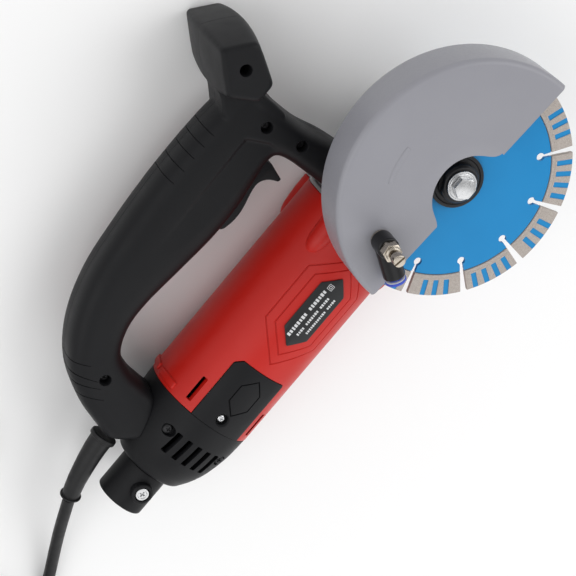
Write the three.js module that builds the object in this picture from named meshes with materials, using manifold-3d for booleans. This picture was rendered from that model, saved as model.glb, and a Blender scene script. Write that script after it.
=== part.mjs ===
// Wall chaser: a hand-held tool that cuts a groove in a wall with a 160 mm diamond blade.
//
// Millimetres. The tool is modelled in its working frame: +x runs forward along the motor axis, +z
// points to the loop handle, +y to the operator's left, and the blade is on the -y side. The origin is
// where the motor axis meets the spindle axis. One group then lays the tool down on its left side,
// blade up, as it is put down between cuts: its own +y turns to face the floor, and the floor is at
// height 0, under the gear-case foot and the cross grip. The cord is laid on that floor, so it is
// modelled outside the turned group.
import * as THREE from 'three';
import { mergeVertices } from 'three/addons/utils/BufferGeometryUtils.js';
import Module from 'manifold-3d';

const wasm = await Module();
wasm.setup();

// ---------------------------------------------------------------- driving dimensions
const GAP = 0.3; // between pieces that touch
const REST = 40; // from the motor axis to the floor that the tool lies on
const ROUND = 24; // sides of a large round piece
const SMALL_ROUND = 10; // sides of a fastener

const BODY_R = 39.5; // motor housing, outside
const BODY_WALL = 3;
const HOUSING = { rear: -224.3, front: -63 };
const BOSSES = [[-26, 26], [26, 26], [-26, -26], [26, -26]]; // [y, z] of the gear case's four screws
const CAP_REAR = -280;
const SOCKET = { radius: 17.4, bore: 14.4, front: -281.3, rear: -310.7, boss: -293.7 };
const COVER = { rear: -222.5, front: -176, half: 20, screw: [-216, 2] };
const VENT = { rear: -257, front: -240, pitch: 8, count: 5, half: 2 };
const CAP_SCREW = { x: -243.2, z: 22.5, recess: 4.2 };
const PLATE = { rear: -151.5, front: -94.8, top: 11.5, bottom: -8.2, thick: 0.7 };

const BLADE = { radius: 80, y: -59.5, core: 2.2, segment: 2.8, band: 65.5, slots: 12, bore: 11.1 };
const SLOT = { first: 40.9, key: 58, keyRadius: 2.65, neck: 2, mouth: 5.2 };
const GUARD = { radius: 86, wall: 2.6, front: -85, back: -52.5, tilt: 2.7, edge: 2 };
const NECK_R = 24; // round neck of the bearing cover, which carries the guard
const SPINDLE_R = 8.5;
const SPIGOT_R = 7.7;

const PINION_TEETH = 11;
const CROWN_TEETH = 38;
const CROWN_R = 27; // pitch radius at the large end

const HANDLE = { half: 19, wall: 3.5 };
const GRIP = { x: -28, z: 147.5, half: REST, swell: 4.2,
  round: 2.6 }; // cross grip at the front of the loop
const GRIP_SCREW = [-27.5, 147];
const HANDLE_SCREWS = [[-49.2, 101.4], [-45.2, 74.2], [-240.3, 75.3]];
const TRIGGER_PIVOT = [-116, 86];
const LOCK = { x: -104, z: 106, radius: 5 };

const FITTING = { x: -54.5, z: 29, arm: [-0.516, -0.856] }; // water fitting on the guard's face
const CORD = { radius: 4.25, sides: 8 };
const COIL = { centre: [-495.1, 1.9], middle: 51, entry: -65, rows: 2 };

const STEEL = { color: 0x9a9ca0, roughness: 0.35, metalness: 1 };
const ZINC = { color: 0xc4c6c8, roughness: 0.3, metalness: 1 };
const NICKEL = { color: 0xb9b09c, roughness: 0.28, metalness: 1 };
const ALUMINIUM = { color: 0xa8aaad, roughness: 0.5, metalness: 0.9 };
const RED = { color: 0xc02418, roughness: 0.42, metalness: 0 };
const BLACK = { color: 0x202123, roughness: 0.55, metalness: 0 };
const RUBBER = { color: 0x1b1b1c, roughness: 0.7, metalness: 0 };
const GREY = { color: 0x8f9094, roughness: 0.45, metalness: 0.1 };
const BLUE = { color: 0x1f86c8, roughness: 0.4, metalness: 0.1 };
const COPPER = { color: 0xb36a35, roughness: 0.35, metalness: 1 };
const LAMINATION = { color: 0x55585c, roughness: 0.5, metalness: 0.9 };
const CARBON = { color: 0x2a2a2c, roughness: 0.75, metalness: 0 };

// ---------------------------------------------------------------- solids
/** A closed three.js geometry as a manifold solid, with its faces turned outwards. */
function solid(source) {
  const bare = source.clone();
  for (const name of Object.keys(bare.attributes)) {
    if (name !== 'position') bare.deleteAttribute(name);
  }
  const merged = mergeVertices(bare, 1e-4);
  const place = merged.attributes.position;
  const corner = [0, 1, 2].map(() => new THREE.Vector3());
  const triangles = [];
  let volume = 0;
  for (let i = 0; i < merged.index.count; i += 3) {
    const ids = [0, 1, 2].map((k) => merged.index.getX(i + k));
    if (new Set(ids).size < 3) continue;
    ids.forEach((id, k) => corner[k].fromBufferAttribute(place, id));
    volume += corner[0].dot(corner[1].clone().cross(corner[2]));
    triangles.push(ids);
  }
  if (volume < 0) triangles.forEach((ids) => ids.reverse());
  return new wasm.Manifold(new wasm.Mesh({
    numProp: 3,
    vertProperties: new Float32Array(place.array),
    triVerts: new Uint32Array(triangles.flat()),
  }));
}

/** Turns a geometry that stands along +y to stand along the named axis. */
function along(axis, geometry) {
  if (axis === 'x') geometry.rotateZ(-Math.PI / 2);
  if (axis === 'z') geometry.rotateX(Math.PI / 2);
  return geometry;
}

/** Moves a geometry across the named axis, to the two other coordinates in x, y, z order. */
function across(axis, geometry, [first, second]) {
  const move = { x: [0, first, second], y: [first, 0, second], z: [first, second, 0] }[axis];
  return geometry.translate(...move);
}

/** A solid of revolution about the named axis, from [radius, place along the axis] points. */
function turned(axis, profile, centre = [0, 0], sides = ROUND) {
  const points = profile.map(([radius, place]) => new THREE.Vector2(radius, place));
  return solid(across(axis, along(axis, new THREE.LatheGeometry(points, sides)), centre));
}

/** A ring with a rectangular section about the named axis. */
function ring(axis, inner, outer, from, to, centre = [0, 0], sides = ROUND) {
  const profile = [[inner, from], [outer, from], [outer, to], [inner, to], [inner, from]];
  return turned(axis, profile, centre, sides);
}

/** A round or, with few sides, a hexagonal bar. */
function rod(axis, radius, from, to, centre = [0, 0], sides = ROUND) {
  const geometry = new THREE.CylinderGeometry(radius, radius, to - from, sides);
  geometry.translate(0, (from + to) / 2, 0);
  return solid(across(axis, along(axis, geometry), centre));
}

function block([x0, x1], [y0, y1], [z0, z1]) {
  const geometry = new THREE.BoxGeometry(x1 - x0, y1 - y0, z1 - z0);
  return solid(geometry.translate((x0 + x1) / 2, (y0 + y1) / 2, (z0 + z1) / 2));
}

/** An outline in the x-z plane, cut out between two places along y, with rounded edges if asked. */
function slab(outline, from, to, round = 0, inset = 0) {
  const geometry = new THREE.ExtrudeGeometry(outline, {
    depth: to - from - 2 * round,
    bevelEnabled: round > 0 || inset > 0,
    bevelThickness: round,
    bevelSize: round,
    bevelOffset: -round - inset,
    bevelSegments: round > 0 ? 2 : 1,
    curveSegments: 4,
  });
  geometry.rotateX(Math.PI / 2);
  return solid(geometry.translate(0, to - round, 0));
}

function polygon(points) {
  return new THREE.Shape(points.map(([x, z]) => new THREE.Vector2(x, z)));
}

/**
 * A solid with a round section whose radius changes along a curve, from [radius, share of the curve]
 * rings.
 */
function tapered(curve, rings, sides = SMALL_ROUND) {
  const geometry = new THREE.LatheGeometry(rings.map(([radius, share]) => new THREE.Vector2(radius,
    share)), sides);
  const place = geometry.attributes.position;
  const up = new THREE.Vector3(0, 0, 1);
  for (let i = 0; i < place.count; i += 1) {
    const share = place.getY(i);
    const forward = curve.getTangentAt(share);
    const side = new THREE.Vector3().crossVectors(forward, up).normalize();
    const top = new THREE.Vector3().crossVectors(side, forward);
    const point = curve.getPointAt(share)
      .addScaledVector(side, place.getX(i))
      .addScaledVector(top, place.getZ(i));
    place.setXYZ(i, point.x, point.y, point.z);
  }
  return solid(geometry);
}

/** A round tube of one radius along a curve. */
function tube(curve, radius, steps, sides) {
  const section = new THREE.Shape();
  for (let i = 0; i < sides; i += 1) {
    const angle = (2 * Math.PI * (i + 0.5)) / sides;
    const point = [radius * Math.cos(angle), radius * Math.sin(angle)];
    if (i === 0) section.moveTo(...point);
    else section.lineTo(...point);
  }
  return solid(new THREE.ExtrudeGeometry(section, { extrudePath: curve, steps, bevelEnabled: false }));
}

function joined(pieces) {
  return pieces.reduce((whole, piece) => whole.add(piece));
}

function cut(body, ...tools) {
  return tools.reduce((left, tool) => left.subtract(tool), body);
}

const radians = (degrees) => (degrees * Math.PI) / 180;

/** The same solid seen in a mirror across the plane y = 0. */
const mirrored = (body) => body.mirror([0, 1, 0]);

/** A solid turned about the y axis, in degrees from +x towards +z. */
const spun = (body, degrees) => body.rotate([0, -degrees, 0]);

/** Everything on one side of the plane y = place. */
function sideOf(place, sign) {
  const far = 400;
  return block([-far, far], sign > 0 ? [place, place + far] : [place - far, place], [-far, far]);
}

/**
 * A cheese-head screw along y, with its head at the low-y end: head radius, shank radius, and three
 * places.
 */
function screw(head, shank, [top, seat, tip], centre, slot = 0.9) {
  const body = rod('y', head, top, seat, centre, SMALL_ROUND).add(rod('y', shank, seat - 0.1, tip, centre,
    8));
  const [x, z] = centre;
  return cut(body, block([x - head * 0.7, x + head * 0.7], [top - 1, top + 1],
    [z - slot / 2, z + slot / 2]));
}

// ---------------------------------------------------------------- the scene graph
const chaser = new THREE.Group();
const tool = new THREE.Group();
tool.rotation.x = -Math.PI / 2;
tool.position.z = REST;
chaser.add(tool);

function piece(name, body, finish, parent = tool) {
  const { vertProperties, triVerts } = body.getMesh();
  const geometry = new THREE.BufferGeometry();
  geometry.setAttribute('position', new THREE.BufferAttribute(vertProperties, 3));
  geometry.setIndex(new THREE.BufferAttribute(triVerts, 1));
  geometry.computeVertexNormals();
  const mesh = new THREE.Mesh(geometry, new THREE.MeshStandardMaterial(finish));
  mesh.name = name;
  parent.add(mesh);
}

// ---------------------------------------------------------------- motor housing and rear cap
/** The outside of the rear cap, from its seam with the housing to the flat rear end. */
const CAP_OUTLINE = [
  [BODY_R - 0.2, HOUSING.rear - GAP], [BODY_R - 0.7, -238], [36.8, -250], [33.3, -262], [29.4, -271],
  [25.5, -277],
  [21, CAP_REAR],
];

/** The body that the handle's rear leg straddles, grown by a gap. */
function motorOutside(grow) {
  const rear = CAP_OUTLINE.map(([radius, x]) => [radius + grow, x]).reverse();
  return turned('x', [[0, CAP_REAR - grow], ...rear, [BODY_R + grow, HOUSING.front], [0, HOUSING.front]]);
}

function motorHousing() {
  const inner = BODY_R - BODY_WALL;
  const shell = ring('x', inner, BODY_R, HOUSING.rear, HOUSING.front);
  const parts = [shell];
  // The four bosses at the front take the gear-case screws; they stand a little out of the round body
  // and run out into it behind.
  for (const centre of BOSSES) {
    parts.push(cut(
      turned('x', [[0, -95], [4, -94], [7, -84], [8, HOUSING.front], [0, HOUSING.front]], centre,
        SMALL_ROUND),
      rod('x', inner, -100, HOUSING.front + 1),
    ));
  }
  // A bridge across each brush opening carries the cover's screw.
  const bridge = ring('x', 32.5, 37, COVER.screw[0] - 4, COVER.screw[0] + 4);
  parts.push(bridge.intersect(block([-230, -200], [-60, 60], [-COVER.half - 6, COVER.half + 6])));
  let housing = joined(parts);
  const opening = block([COVER.rear - 0.4, COVER.front + 0.4], [-60, 60],
    [-COVER.half - 0.4, COVER.half + 0.4]);
  const wall = ring('x', 36.2, 60, HOUSING.rear - 1, HOUSING.front);
  const window = block([COVER.rear + 9, COVER.front - 2], [-60, 60], [-COVER.half + 2, COVER.half - 2]);
  housing = cut(housing, opening.intersect(wall), window);
  // Cooling slots above and below each brush cover.
  for (const z of [-26, 26]) {
    housing = cut(housing, block([-219, -200.5], [-60, 60], [z - 1.5, z + 1.5]));
  }
  for (const side of [-1, 1]) {
    housing = cut(housing, rod('y', 1.9, side < 0 ? -60 : 20, side < 0 ? -20 : 60, COVER.screw, 10));
  }
  return housing;
}

function rearCap() {
  const inside = [[0, -277], [20, -276.5], [29.5, -262], [34.8, -245], [36.3, -224]];
  const shell = turned('x', [[0, CAP_REAR], ...CAP_OUTLINE.slice().reverse(), [36.3, HOUSING.rear - GAP],
    ...inside.slice(0, -1).reverse()]);
  // The web and the sleeve on it hold the armature's rear bearing.
  const web = cut(ring('x', 7, 36.6, -236.5, -233.5), ...[0, 90, 180, 270].map((turn) => (
    rod('x', 7, -240, -230, [22 * Math.cos(radians(turn)), 22 * Math.sin(radians(turn))], SMALL_ROUND)
  )));
  const sleeve = ring('x', 11.3, 14, -235, -226, [0, 0], 16);
  let cap = joined([shell, web, sleeve]);
  const middle = (VENT.count - 1) / 2;
  for (const side of [-1, 1]) {
    for (let i = 0; i < VENT.count; i += 1) {
      const z = (i - middle) * VENT.pitch;
      cap = cut(cap, block([VENT.rear, VENT.front], side < 0 ? [-60, -20] : [20, 60],
        [z - VENT.half, z + VENT.half]));
    }
    for (const z of [-CAP_SCREW.z, CAP_SCREW.z]) {
      const [from, to] = side < 0 ? [-60, -27.3] : [27.3, 60];
      cap = cap.add(ring('y', 1, CAP_SCREW.recess + 1.8, Math.min(from, side * 22),
        Math.max(to, side * 22),
        [CAP_SCREW.x, z], SMALL_ROUND).intersect(motorOutside(-0.4)));
      cap = cut(cap, rod('y', CAP_SCREW.recess, from, to, [CAP_SCREW.x, z], SMALL_ROUND),
        rod('y', 2.2, side < 0 ? -30 : 18, side < 0 ? -18 : 30, [CAP_SCREW.x, z], 10));
    }
  }
  return cap;
}

function poleSocket() {
  const { radius, bore, front, rear, boss } = SOCKET;
  const tubeBody = turned('x', [[0, front], [radius, front], [radius, rear + 1.5], [radius - 1.5, rear],
    [bore, rear], [bore, front - 3.5], [0, front - 3.5]]);
  const pad = cut(rod('y', 7.5, -21.5, -12, [boss, 0], 24), rod('x', bore + 0.5, rear, front));
  return cut(tubeBody.add(pad), rod('y', 5.3, -22, -18, [boss, 0], 20),
    rod('y', 2.8, -20, -10, [boss, 0], 10));
}

function brushCover() {
  const shell = ring('x', 36.5, BODY_R + 0.25, COVER.rear, COVER.front, [0, 0], 48);
  const chamfer = 5;
  const outline = polygon([[COVER.rear, -COVER.half], [COVER.front, -COVER.half],
    [COVER.front, COVER.half - chamfer], [COVER.front - chamfer, COVER.half], [COVER.rear, COVER.half]]);
  const hexagon = (half, tall) => polygon([[-208, 0], [-201.5, tall], [-188.5, tall], [-182, 0],
    [-188.5, -tall],
    [-201.5, -tall]].map(([x, z]) => [-195 + (x + 195) * half, z]));
  const groove = cut(slab(hexagon(1, 9.2), -60, -20), slab(hexagon(0.93, 8.2), -61, -19));
  const plate = shell.intersect(slab(outline, -60, -10));
  return cut(plate, groove.intersect(ring('x', BODY_R - 0.3, 60, -210, -180, [0, 0], 48)),
    rod('y', 3.6, -60, BODY_R * -1 + 1.6, COVER.screw, SMALL_ROUND),
      rod('y', 2.1, -60, -20, COVER.screw, 10));
}

function nameplate() {
  const middle = (PLATE.top + PLATE.bottom) / 2;
  const slope = (PLATE.top - PLATE.bottom) / 2;
  const outline = polygon([[PLATE.rear, middle], [PLATE.rear + slope, PLATE.top],
    [PLATE.front - slope, PLATE.top],
    [PLATE.front, middle], [PLATE.front - slope, PLATE.bottom], [PLATE.rear + slope, PLATE.bottom]]);
  const skin = ring('x', BODY_R + GAP, BODY_R + GAP + PLATE.thick, PLATE.rear - 1, PLATE.front + 1,
    [0, 0], 48);
  return skin.intersect(slab(outline, -60, -20));
}

piece('motor_housing', motorHousing(), RED);
piece('rear_cap', rearCap(), BLACK);
piece('pole_socket', poleSocket(), BLACK);
piece('socket_clamp_screw', screw(4.7, 2.4, [-21, -18.3, -14.8], [SOCKET.boss, 0]), ZINC);
piece('brush_cover_right', brushCover(), BLACK);
piece('brush_cover_left', mirrored(brushCover()), BLACK);
const coverScrew = screw(3.2, 1.6, [-39.5, -38.2, -30], COVER.screw, 0.8);
piece('brush_cover_screw_right', coverScrew, ZINC);
piece('brush_cover_screw_left', mirrored(coverScrew), ZINC);
piece('nameplate', nameplate(), BLACK);
for (const [i, z] of [CAP_SCREW.z, -CAP_SCREW.z].entries()) {
  piece(`rear_cap_screw_${i + 1}`, screw(3.4, 1.8, [-29.6, -27.6, -19], [CAP_SCREW.x, z]), ZINC);
}

// ---------------------------------------------------------------- motor
const STATOR = { rear: -165, front: -108, outer: 36, pole: 20.3, yoke: 31 };

/** One field pole, or the room that it needs. */
function pole(side, grow) {
  const { rear, front, yoke } = STATOR;
  const reach = 50;
  const core = ring('x', STATOR.pole - grow, yoke + grow + 0.6, rear - grow, front + grow);
  const tall = 22 + grow;
  return core.intersect(block([rear - grow, front + grow], side > 0 ? [2, reach] : [-reach, -2],
    [-tall, tall]));
}

function fieldCoil(side) {
  const blank = ring('x', 22, STATOR.yoke - GAP, STATOR.rear - 9, STATOR.front + 8);
  const half = blank.intersect(sideOf(side * 1.5, side));
  return cut(half, pole(side, GAP + 0.2));
}

function armatureCore() {
  const stack = rod('x', 19.7, STATOR.rear + 1, STATOR.front - 1);
  const slots = Array.from({ length: 8 }, (_, i) => {
    const slot = block([STATOR.rear, STATOR.front], [18.2, 22], [-1, 1]);
    return slot.rotate([i * 45, 0, 0]);
  });
  const ends = turned('x', [[0, STATOR.rear - 9], [13, STATOR.rear - 9], [17, STATOR.rear - 5],
    [17, STATOR.rear + 2],
    [17, STATOR.front - 2], [17, STATOR.front + 5], [13, STATOR.front + 8], [0, STATOR.front + 8]]);
  return cut(cut(stack, ...slots).add(ends), rod('x', 6 + GAP, -200, -80, [0, 0], 16));
}

function commutator() {
  const drum = ring('x', 6 + GAP, 12, -211, -191, [0, 0], 16);
  const risers = ring('x', 6 + GAP, 14, -191, -187, [0, 0], 16);
  const cuts = Array.from({ length: 8 }, (_, i) => (
    block([-212, -192.5], [11.4, 14], [-0.35, 0.35]).rotate([i * 45, 0, 0])
  ));
  return cut(drum.add(risers), ...cuts);
}

function fan() {
  const vanes = Array.from({ length: 9 }, (_, i) => (
    block([-95.5, -85], [9, 30], [-0.9, 0.9]).rotate([i * 40, 0, 0])
  ));
  return joined([ring('x', 6 + GAP, 31, -97.5, -95, [0, 0], 27),
    ring('x', 6 + GAP, 10.5, -96, -84, [0, 0], 18), ...vanes]);
}

/** A ball bearing, closed by its shields: one solid ring. */
const bearing = (axis, inner, outer, from, to) => ring(axis, inner, outer, from, to, [0, 0], 16);

function brushHolder() {
  const x = -201;
  const sleeve = block([x - 5.5, x + 5.5], [-32, -14], [-4.5, 4.5]);
  const foot = block([x - 5.5, x + 12], [-32, -29.5], [-15, 15]);
  return cut(sleeve.add(foot), block([x - 4.2, x + 4.2], [-33, -13], [-3.2, 3.2]));
}

function brushSpring() {
  class Helix extends THREE.Curve {
    getPoint(t) {
      const angle = t * 5 * 2 * Math.PI;
      return new THREE.Vector3(-201 + 2.3 * Math.cos(angle), -31.5 + t * 6.3, 2.3 * Math.sin(angle));
    }
  }
  return tube(new Helix(), 0.35, 36, 4);
}

const stator = joined([ring('x', STATOR.yoke, STATOR.outer, STATOR.rear, STATOR.front), pole(1, 0),
  pole(-1, 0)]);
piece('stator_core', stator, LAMINATION);
const rightCoil = fieldCoil(-1);
const rightHolder = brushHolder();
const rightBrush = block([-205, -197], [-24.5, -12.4], [-3, 3]);
const rightSpring = brushSpring();
for (const [side, turn] of [['right', (body) => body], ['left', mirrored]]) {
  piece(`field_coil_${side}`, turn(rightCoil), COPPER);
  piece(`brush_holder_${side}`, turn(rightHolder), NICKEL);
  piece(`carbon_brush_${side}`, turn(rightBrush), CARBON);
  piece(`brush_spring_${side}`, turn(rightSpring), STEEL);
}
piece('armature_shaft', joined([rod('x', 6, -220, -32.4, [0, 0], 16),
  rod('x', 4, -232, -219, [0, 0], 16), rod('x', 3.6, -33, -24.4, [0, 0], 12)]), STEEL);
piece('armature_core', armatureCore(), LAMINATION);
piece('commutator', commutator(), COPPER);
piece('fan', fan(), BLACK);
piece('rear_bearing', bearing('x', 4 + GAP, 11, -232, -225), STEEL);
piece('pinion_bearing', bearing('x', 6 + GAP, 16, -58, -47), STEEL);

// ---------------------------------------------------------------- bevel gears
const PINION_R = (CROWN_R * PINION_TEETH) / CROWN_TEETH;
const TOOTH = { rise: 1.1, root: 1.5, root_width: 1.9, tip_width: 0.9, small: 0.66 };

/**
 * One bevel tooth: its section at the pitch circle [away, up], shrunk towards the apex where the axes
 * cross.
 */
function bevelTooth(away, up, outwards) {
  const geometry = new THREE.BoxGeometry(2, 2, 2);
  const place = geometry.attributes.position;
  for (let i = 0; i < place.count; i += 1) {
    const scale = place.getX(i) > 0 ? 1 : TOOTH.small;
    const tip = place.getY(i) > 0;
    const height = tip ? TOOTH.rise : -TOOTH.root - 0.6;
    const width = (tip ? TOOTH.tip_width : TOOTH.root_width) * Math.sign(place.getZ(i)) * 0.5;
    place.setXYZ(i, (away + height * outwards[0]) * scale, (up + height * outwards[1]) * scale,
      width * scale);
  }
  return solid(geometry);
}

function crownGear() {
  const slope = PINION_R / CROWN_R;
  const face = (radius) => -radius * slope - (TOOTH.root * radius) / CROWN_R;
  const outer = CROWN_R + 1.2;
  const body = turned('y', [[SPINDLE_R + GAP, -19], [14, -19], [15, -15.5], [outer, -14.5],
    [outer, face(outer)],
    [16, face(16)], [12.5, face(16)], [12.5, -4], [SPINDLE_R + GAP, -4], [SPINDLE_R + GAP, -19]]);
  const tooth = bevelTooth(CROWN_R, -PINION_R, [0, 1]);
  const teeth = Array.from({ length: CROWN_TEETH }, (_, i) => spun(tooth, 180 + (i * 360) / CROWN_TEETH));
  return joined([body, ...teeth]);
}

function pinionGear() {
  const slope = PINION_R / CROWN_R;
  const face = (x) => Math.abs(x) * slope - (TOOTH.root * Math.abs(x)) / CROWN_R;
  const front = -CROWN_R * TOOTH.small;
  const body = turned('x', [[0, -CROWN_R - 5], [7.5, -CROWN_R - 5], [7.5, -CROWN_R],
    [face(CROWN_R), -CROWN_R],
    [face(front), front], [0, front]], [0, 0], 22);
  const tooth = bevelTooth(CROWN_R, PINION_R, [0, 1]).rotate([0, 180, 0]);
  const teeth = Array.from({ length: PINION_TEETH },
    (_, i) => tooth.rotate([(i * 360) / PINION_TEETH, 0, 0]));
  return cut(joined([body, ...teeth]), rod('x', 4, -CROWN_R - 6, -24, [0, 0], 16));
}

piece('crown_gear', crownGear(), STEEL);
piece('pinion_gear', pinionGear(), STEEL);

// ---------------------------------------------------------------- gear case and spindle
const CASE_R = 34.5;

function gearCase() {
  const head = turned('y', [[0, REST], [16.5, REST], [18, REST - 1.5], [19.5, 31], [26, 25], [32, 19],
    [CASE_R, 11],
    [CASE_R, -35], [33, -37], [0, -37]]);
  const flange = turned('x', [[0, HOUSING.front + GAP], [BODY_R, HOUSING.front + GAP], [BODY_R, -60.4],
    [38.3, -59.5], [37, -56],
    [35, -44], [CASE_R - 1.5, 0], [0, 0]]);
  const pad = block([-59, -30.5], [-16, 16], [20, 38.5]);
  const ears = BOSSES.map((centre) => rod('x', 7.6, HOUSING.front + GAP, -57, centre, SMALL_ROUND));
  const hollow = [
    rod('y', 30, -20.5, 14),
    rod('y', 17.5, -38, -20, [0, 0], 16),
    rod('y', 13.3, 13, 33, [0, 0], 16),
    rod('x', 16.3, -70, -46.5, [0, 0], 16),
    rod('x', 12.5, -50, 0, [0, 0], 16),
    rod('x', 27, -70, -59.5),
  ];
  return cut(joined([head, flange, pad, ...ears]), ...hollow);
}

function bearingCover() {
  const profile = [[9.3, -37.3], [30, -37.3], [30, -40], [28.5, -41.5], [NECK_R, -41.5], [NECK_R, -54.3],
    [9.3, -54.3], [9.3, -37.3]];
  return turned('y', profile);
}

function spindle() {
  const shaft = turned('y', [[0, 31], [5.5, 31], [6, 30.5], [6, 19], [SPINDLE_R, 19], [SPINDLE_R, -54.8],
    [SPIGOT_R, -54.8], [SPIGOT_R, -66], [0, -66]], [0, 0], 16);
  return cut(shaft, rod('y', 4.4, -67, -40, [0, 0], 16));
}

const BLADE_BACK = BLADE.y + BLADE.core / 2; // the face towards the gear case
const BLADE_FRONT = BLADE.y - BLADE.core / 2;

function innerFlange() {
  const face = BLADE_BACK + GAP;
  return turned('y', [[SPIGOT_R + GAP, -55.1], [20, -55.1], [20, face], [10.8, face],
    [10.8, BLADE_FRONT + 0.2],
    [SPIGOT_R + GAP, BLADE_FRONT + 0.2], [SPIGOT_R + GAP, -55.1]]);
}

function outerFlange() {
  const face = BLADE_FRONT - GAP;
  const disc = turned('y', [[0, face], [17.9, face], [17.9, -63.6], [17.2, -64.3], [0, -64.3]]);
  const boss = rod('y', 13.6, -70.5, -64, [0, 0], 6).intersect(rod('y', 12.8, -71, -63));
  return cut(disc.add(boss), rod('y', SPIGOT_R + GAP, -66.4, -60, [0, 0], 16),
    rod('y', 4.4, -71, -60, [0, 0], 16));
}

/** The steel core with its segment ring, cut by the radial slots that end in round keyholes. */
function blade() {
  const { radius, core, segment, band, slots, bore } = BLADE;
  const disc = rod('y', radius - 0.5, BLADE.y - core / 2, BLADE.y + core / 2, [0, 0], 60);
  const rim = ring('y', band, radius, BLADE.y - segment / 2, BLADE.y + segment / 2, [0, 0], 60);
  const slot = polygon([[SLOT.key, -SLOT.neck / 2], [radius + 2, -SLOT.mouth / 2],
    [radius + 2, SLOT.mouth / 2],
    [SLOT.key, SLOT.neck / 2]]);
  const opening = slab(slot, BLADE.y - 5, BLADE.y + 5)
    .add(rod('y', SLOT.keyRadius, BLADE.y - 5, BLADE.y + 5, [SLOT.key, 0], 8));
  const openings = Array.from({ length: slots }, (_, i) => spun(opening,
    -SLOT.first - (i * 360) / slots));
  return cut(disc.add(rim), rod('y', bore, BLADE.y - 5, BLADE.y + 5), ...openings);
}

piece('gear_case', gearCase(), ALUMINIUM);
piece('bearing_cover', bearingCover(), ALUMINIUM);
piece('spindle_bearing', bearing('y', SPINDLE_R + GAP, 17.2, -35.5, -22), STEEL);
piece('top_bearing', bearing('y', 6 + GAP, 13, 20, 29.5), STEEL);
piece('spindle', spindle(), STEEL);
piece('inner_flange', innerFlange(), STEEL);
piece('blade', blade(), BLUE);
piece('outer_flange', outerFlange(), BLACK);
piece('flange_washer', ring('y', 4.4, 9.75, -72.3, -70.8, [0, 0], 16), ZINC);
piece('spindle_bolt', rod('y', 13 / Math.sqrt(3), -77.2, -72.6, [0, 0],
  6).add(rod('y', 4, -73, -42, [0, 0], 16)), ZINC);

// ---------------------------------------------------------------- guard and water fitting
/** Half a drum, open along its straight edge, with a notch in the face around the flange and bolt. */
function guard() {
  const { radius, wall, front, back } = GUARD;
  const arc = (round, place, from, to) => [0, 1, 2].map((i) => {
    const angle = radians(from + ((to - from) * i) / 2);
    return [radius - round + round * Math.cos(angle), place + round * Math.sin(angle)];
  });
  const outside = turned('y', [[0, front], ...arc(3.5, front + 3.5, -90, 0), ...arc(5, back - 5, 0, 90),
    [0, back]], [0, 0], 48);
  const inner = radius - wall;
  const inside = turned('y', [[0, front + wall], [inner - 1.5, front + wall], [inner, front + wall + 1.5],
    [inner, back - wall - 3], [inner - 3, back - wall], [0, back - wall]], [0, 0], 48);
  const below = slab(polygon([[-100, GUARD.edge], [100, GUARD.edge], [100, -100], [-100, -100]]), -95,
    -40);
  const notch = new THREE.Shape();
  notch.moveTo(-30.5, GUARD.edge - 10);
  notch.lineTo(-30.5, GUARD.edge);
  notch.bezierCurveTo(-25.5, 3.5, -24.5, 9.5, -20.5, 15);
  notch.bezierCurveTo(-15, 21.5, -7.5, 24.8, 0.5, 24.8);
  notch.bezierCurveTo(9, 24.8, 16.5, 20.5, 21, 14);
  notch.bezierCurveTo(25, 8, 26, 3, 31, GUARD.edge);
  notch.lineTo(31, GUARD.edge - 10);
  const body = cut(outside, inside, spun(below, -GUARD.tilt), slab(notch, -95, -70));
  // A split collar clamps the guard on the neck of the bearing cover; its lug takes the clamp screw.
  const collar = ring('y', NECK_R + GAP, 29, back - wall, -43);
  const lug = block([24, 38], [-52.7, -43.5], [-26, -15]);
  const split = block([20, 40], [-52, -40], [-21.3, -19.7]);
  const screwHole = rod('z', 2.6, -30, -10, [33.5, -47.8], 10);
  const seat = rod('y', NECK_R + GAP, -60, -40);
  const waterHole = rod('y', 4.6, -90, -80, [FITTING.x, FITTING.z], 20);
  return cut(joined([body, collar, lug]), split, screwHole, seat, waterHole);
}

/** The guard's clamp screw: a cap screw along z through both halves of the lug. */
function guardClampScrew() {
  const centre = [33.5, -47.8];
  return cut(rod('z', 4, -14.7, -10.7, centre, SMALL_ROUND).add(rod('z', 2.3, -28, -14, centre, 10)),
    rod('z', 2.2, -12.7, -10, centre, 6));
}

piece('guard', guard(), GREY);
piece('guard_clamp_screw', guardClampScrew(), ZINC);

const fittingAt = [FITTING.x, FITTING.z];
const stem = cut(joined([rod('y', 4.2, -100, -78.5, fittingAt, 14),
  rod('y', 7, -86.5, -85.3, fittingAt, 16)]),
  rod('y', 1.8, -90, -78, fittingAt, 12));
piece('water_stem', stem, NICKEL);
const nut = cut(rod('y', 6.2, -106.5, -100.4, fittingAt, 6).add(rod('y', 4.6, -109, -106, fittingAt, 14)),
  rod('y', 2.8, -110, -100, fittingAt, 12));
piece('water_nut', nut, NICKEL);
const needle = cut(joined([rod('y', 2.4, -112, -101, fittingAt, 12),
  rod('y', 3.9, -117.5, -111.5, fittingAt, 14)]),
  block([FITTING.x - 5, FITTING.x + 5], [-118.5, -116.4], [FITTING.z - 0.5, FITTING.z + 0.5]));
piece('needle_screw', needle, NICKEL);

/** A round bar in the arm's direction, between two distances from the fitting's own axis. */
function armRod(radius, from, to, sides = 14) {
  const turn = THREE.MathUtils.radToDeg(Math.atan2(FITTING.arm[1], FITTING.arm[0]));
  return spun(rod('x', radius, from, to, [-93.2, 0], sides), turn).translate([FITTING.x, 0, FITTING.z]);
}

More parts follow.
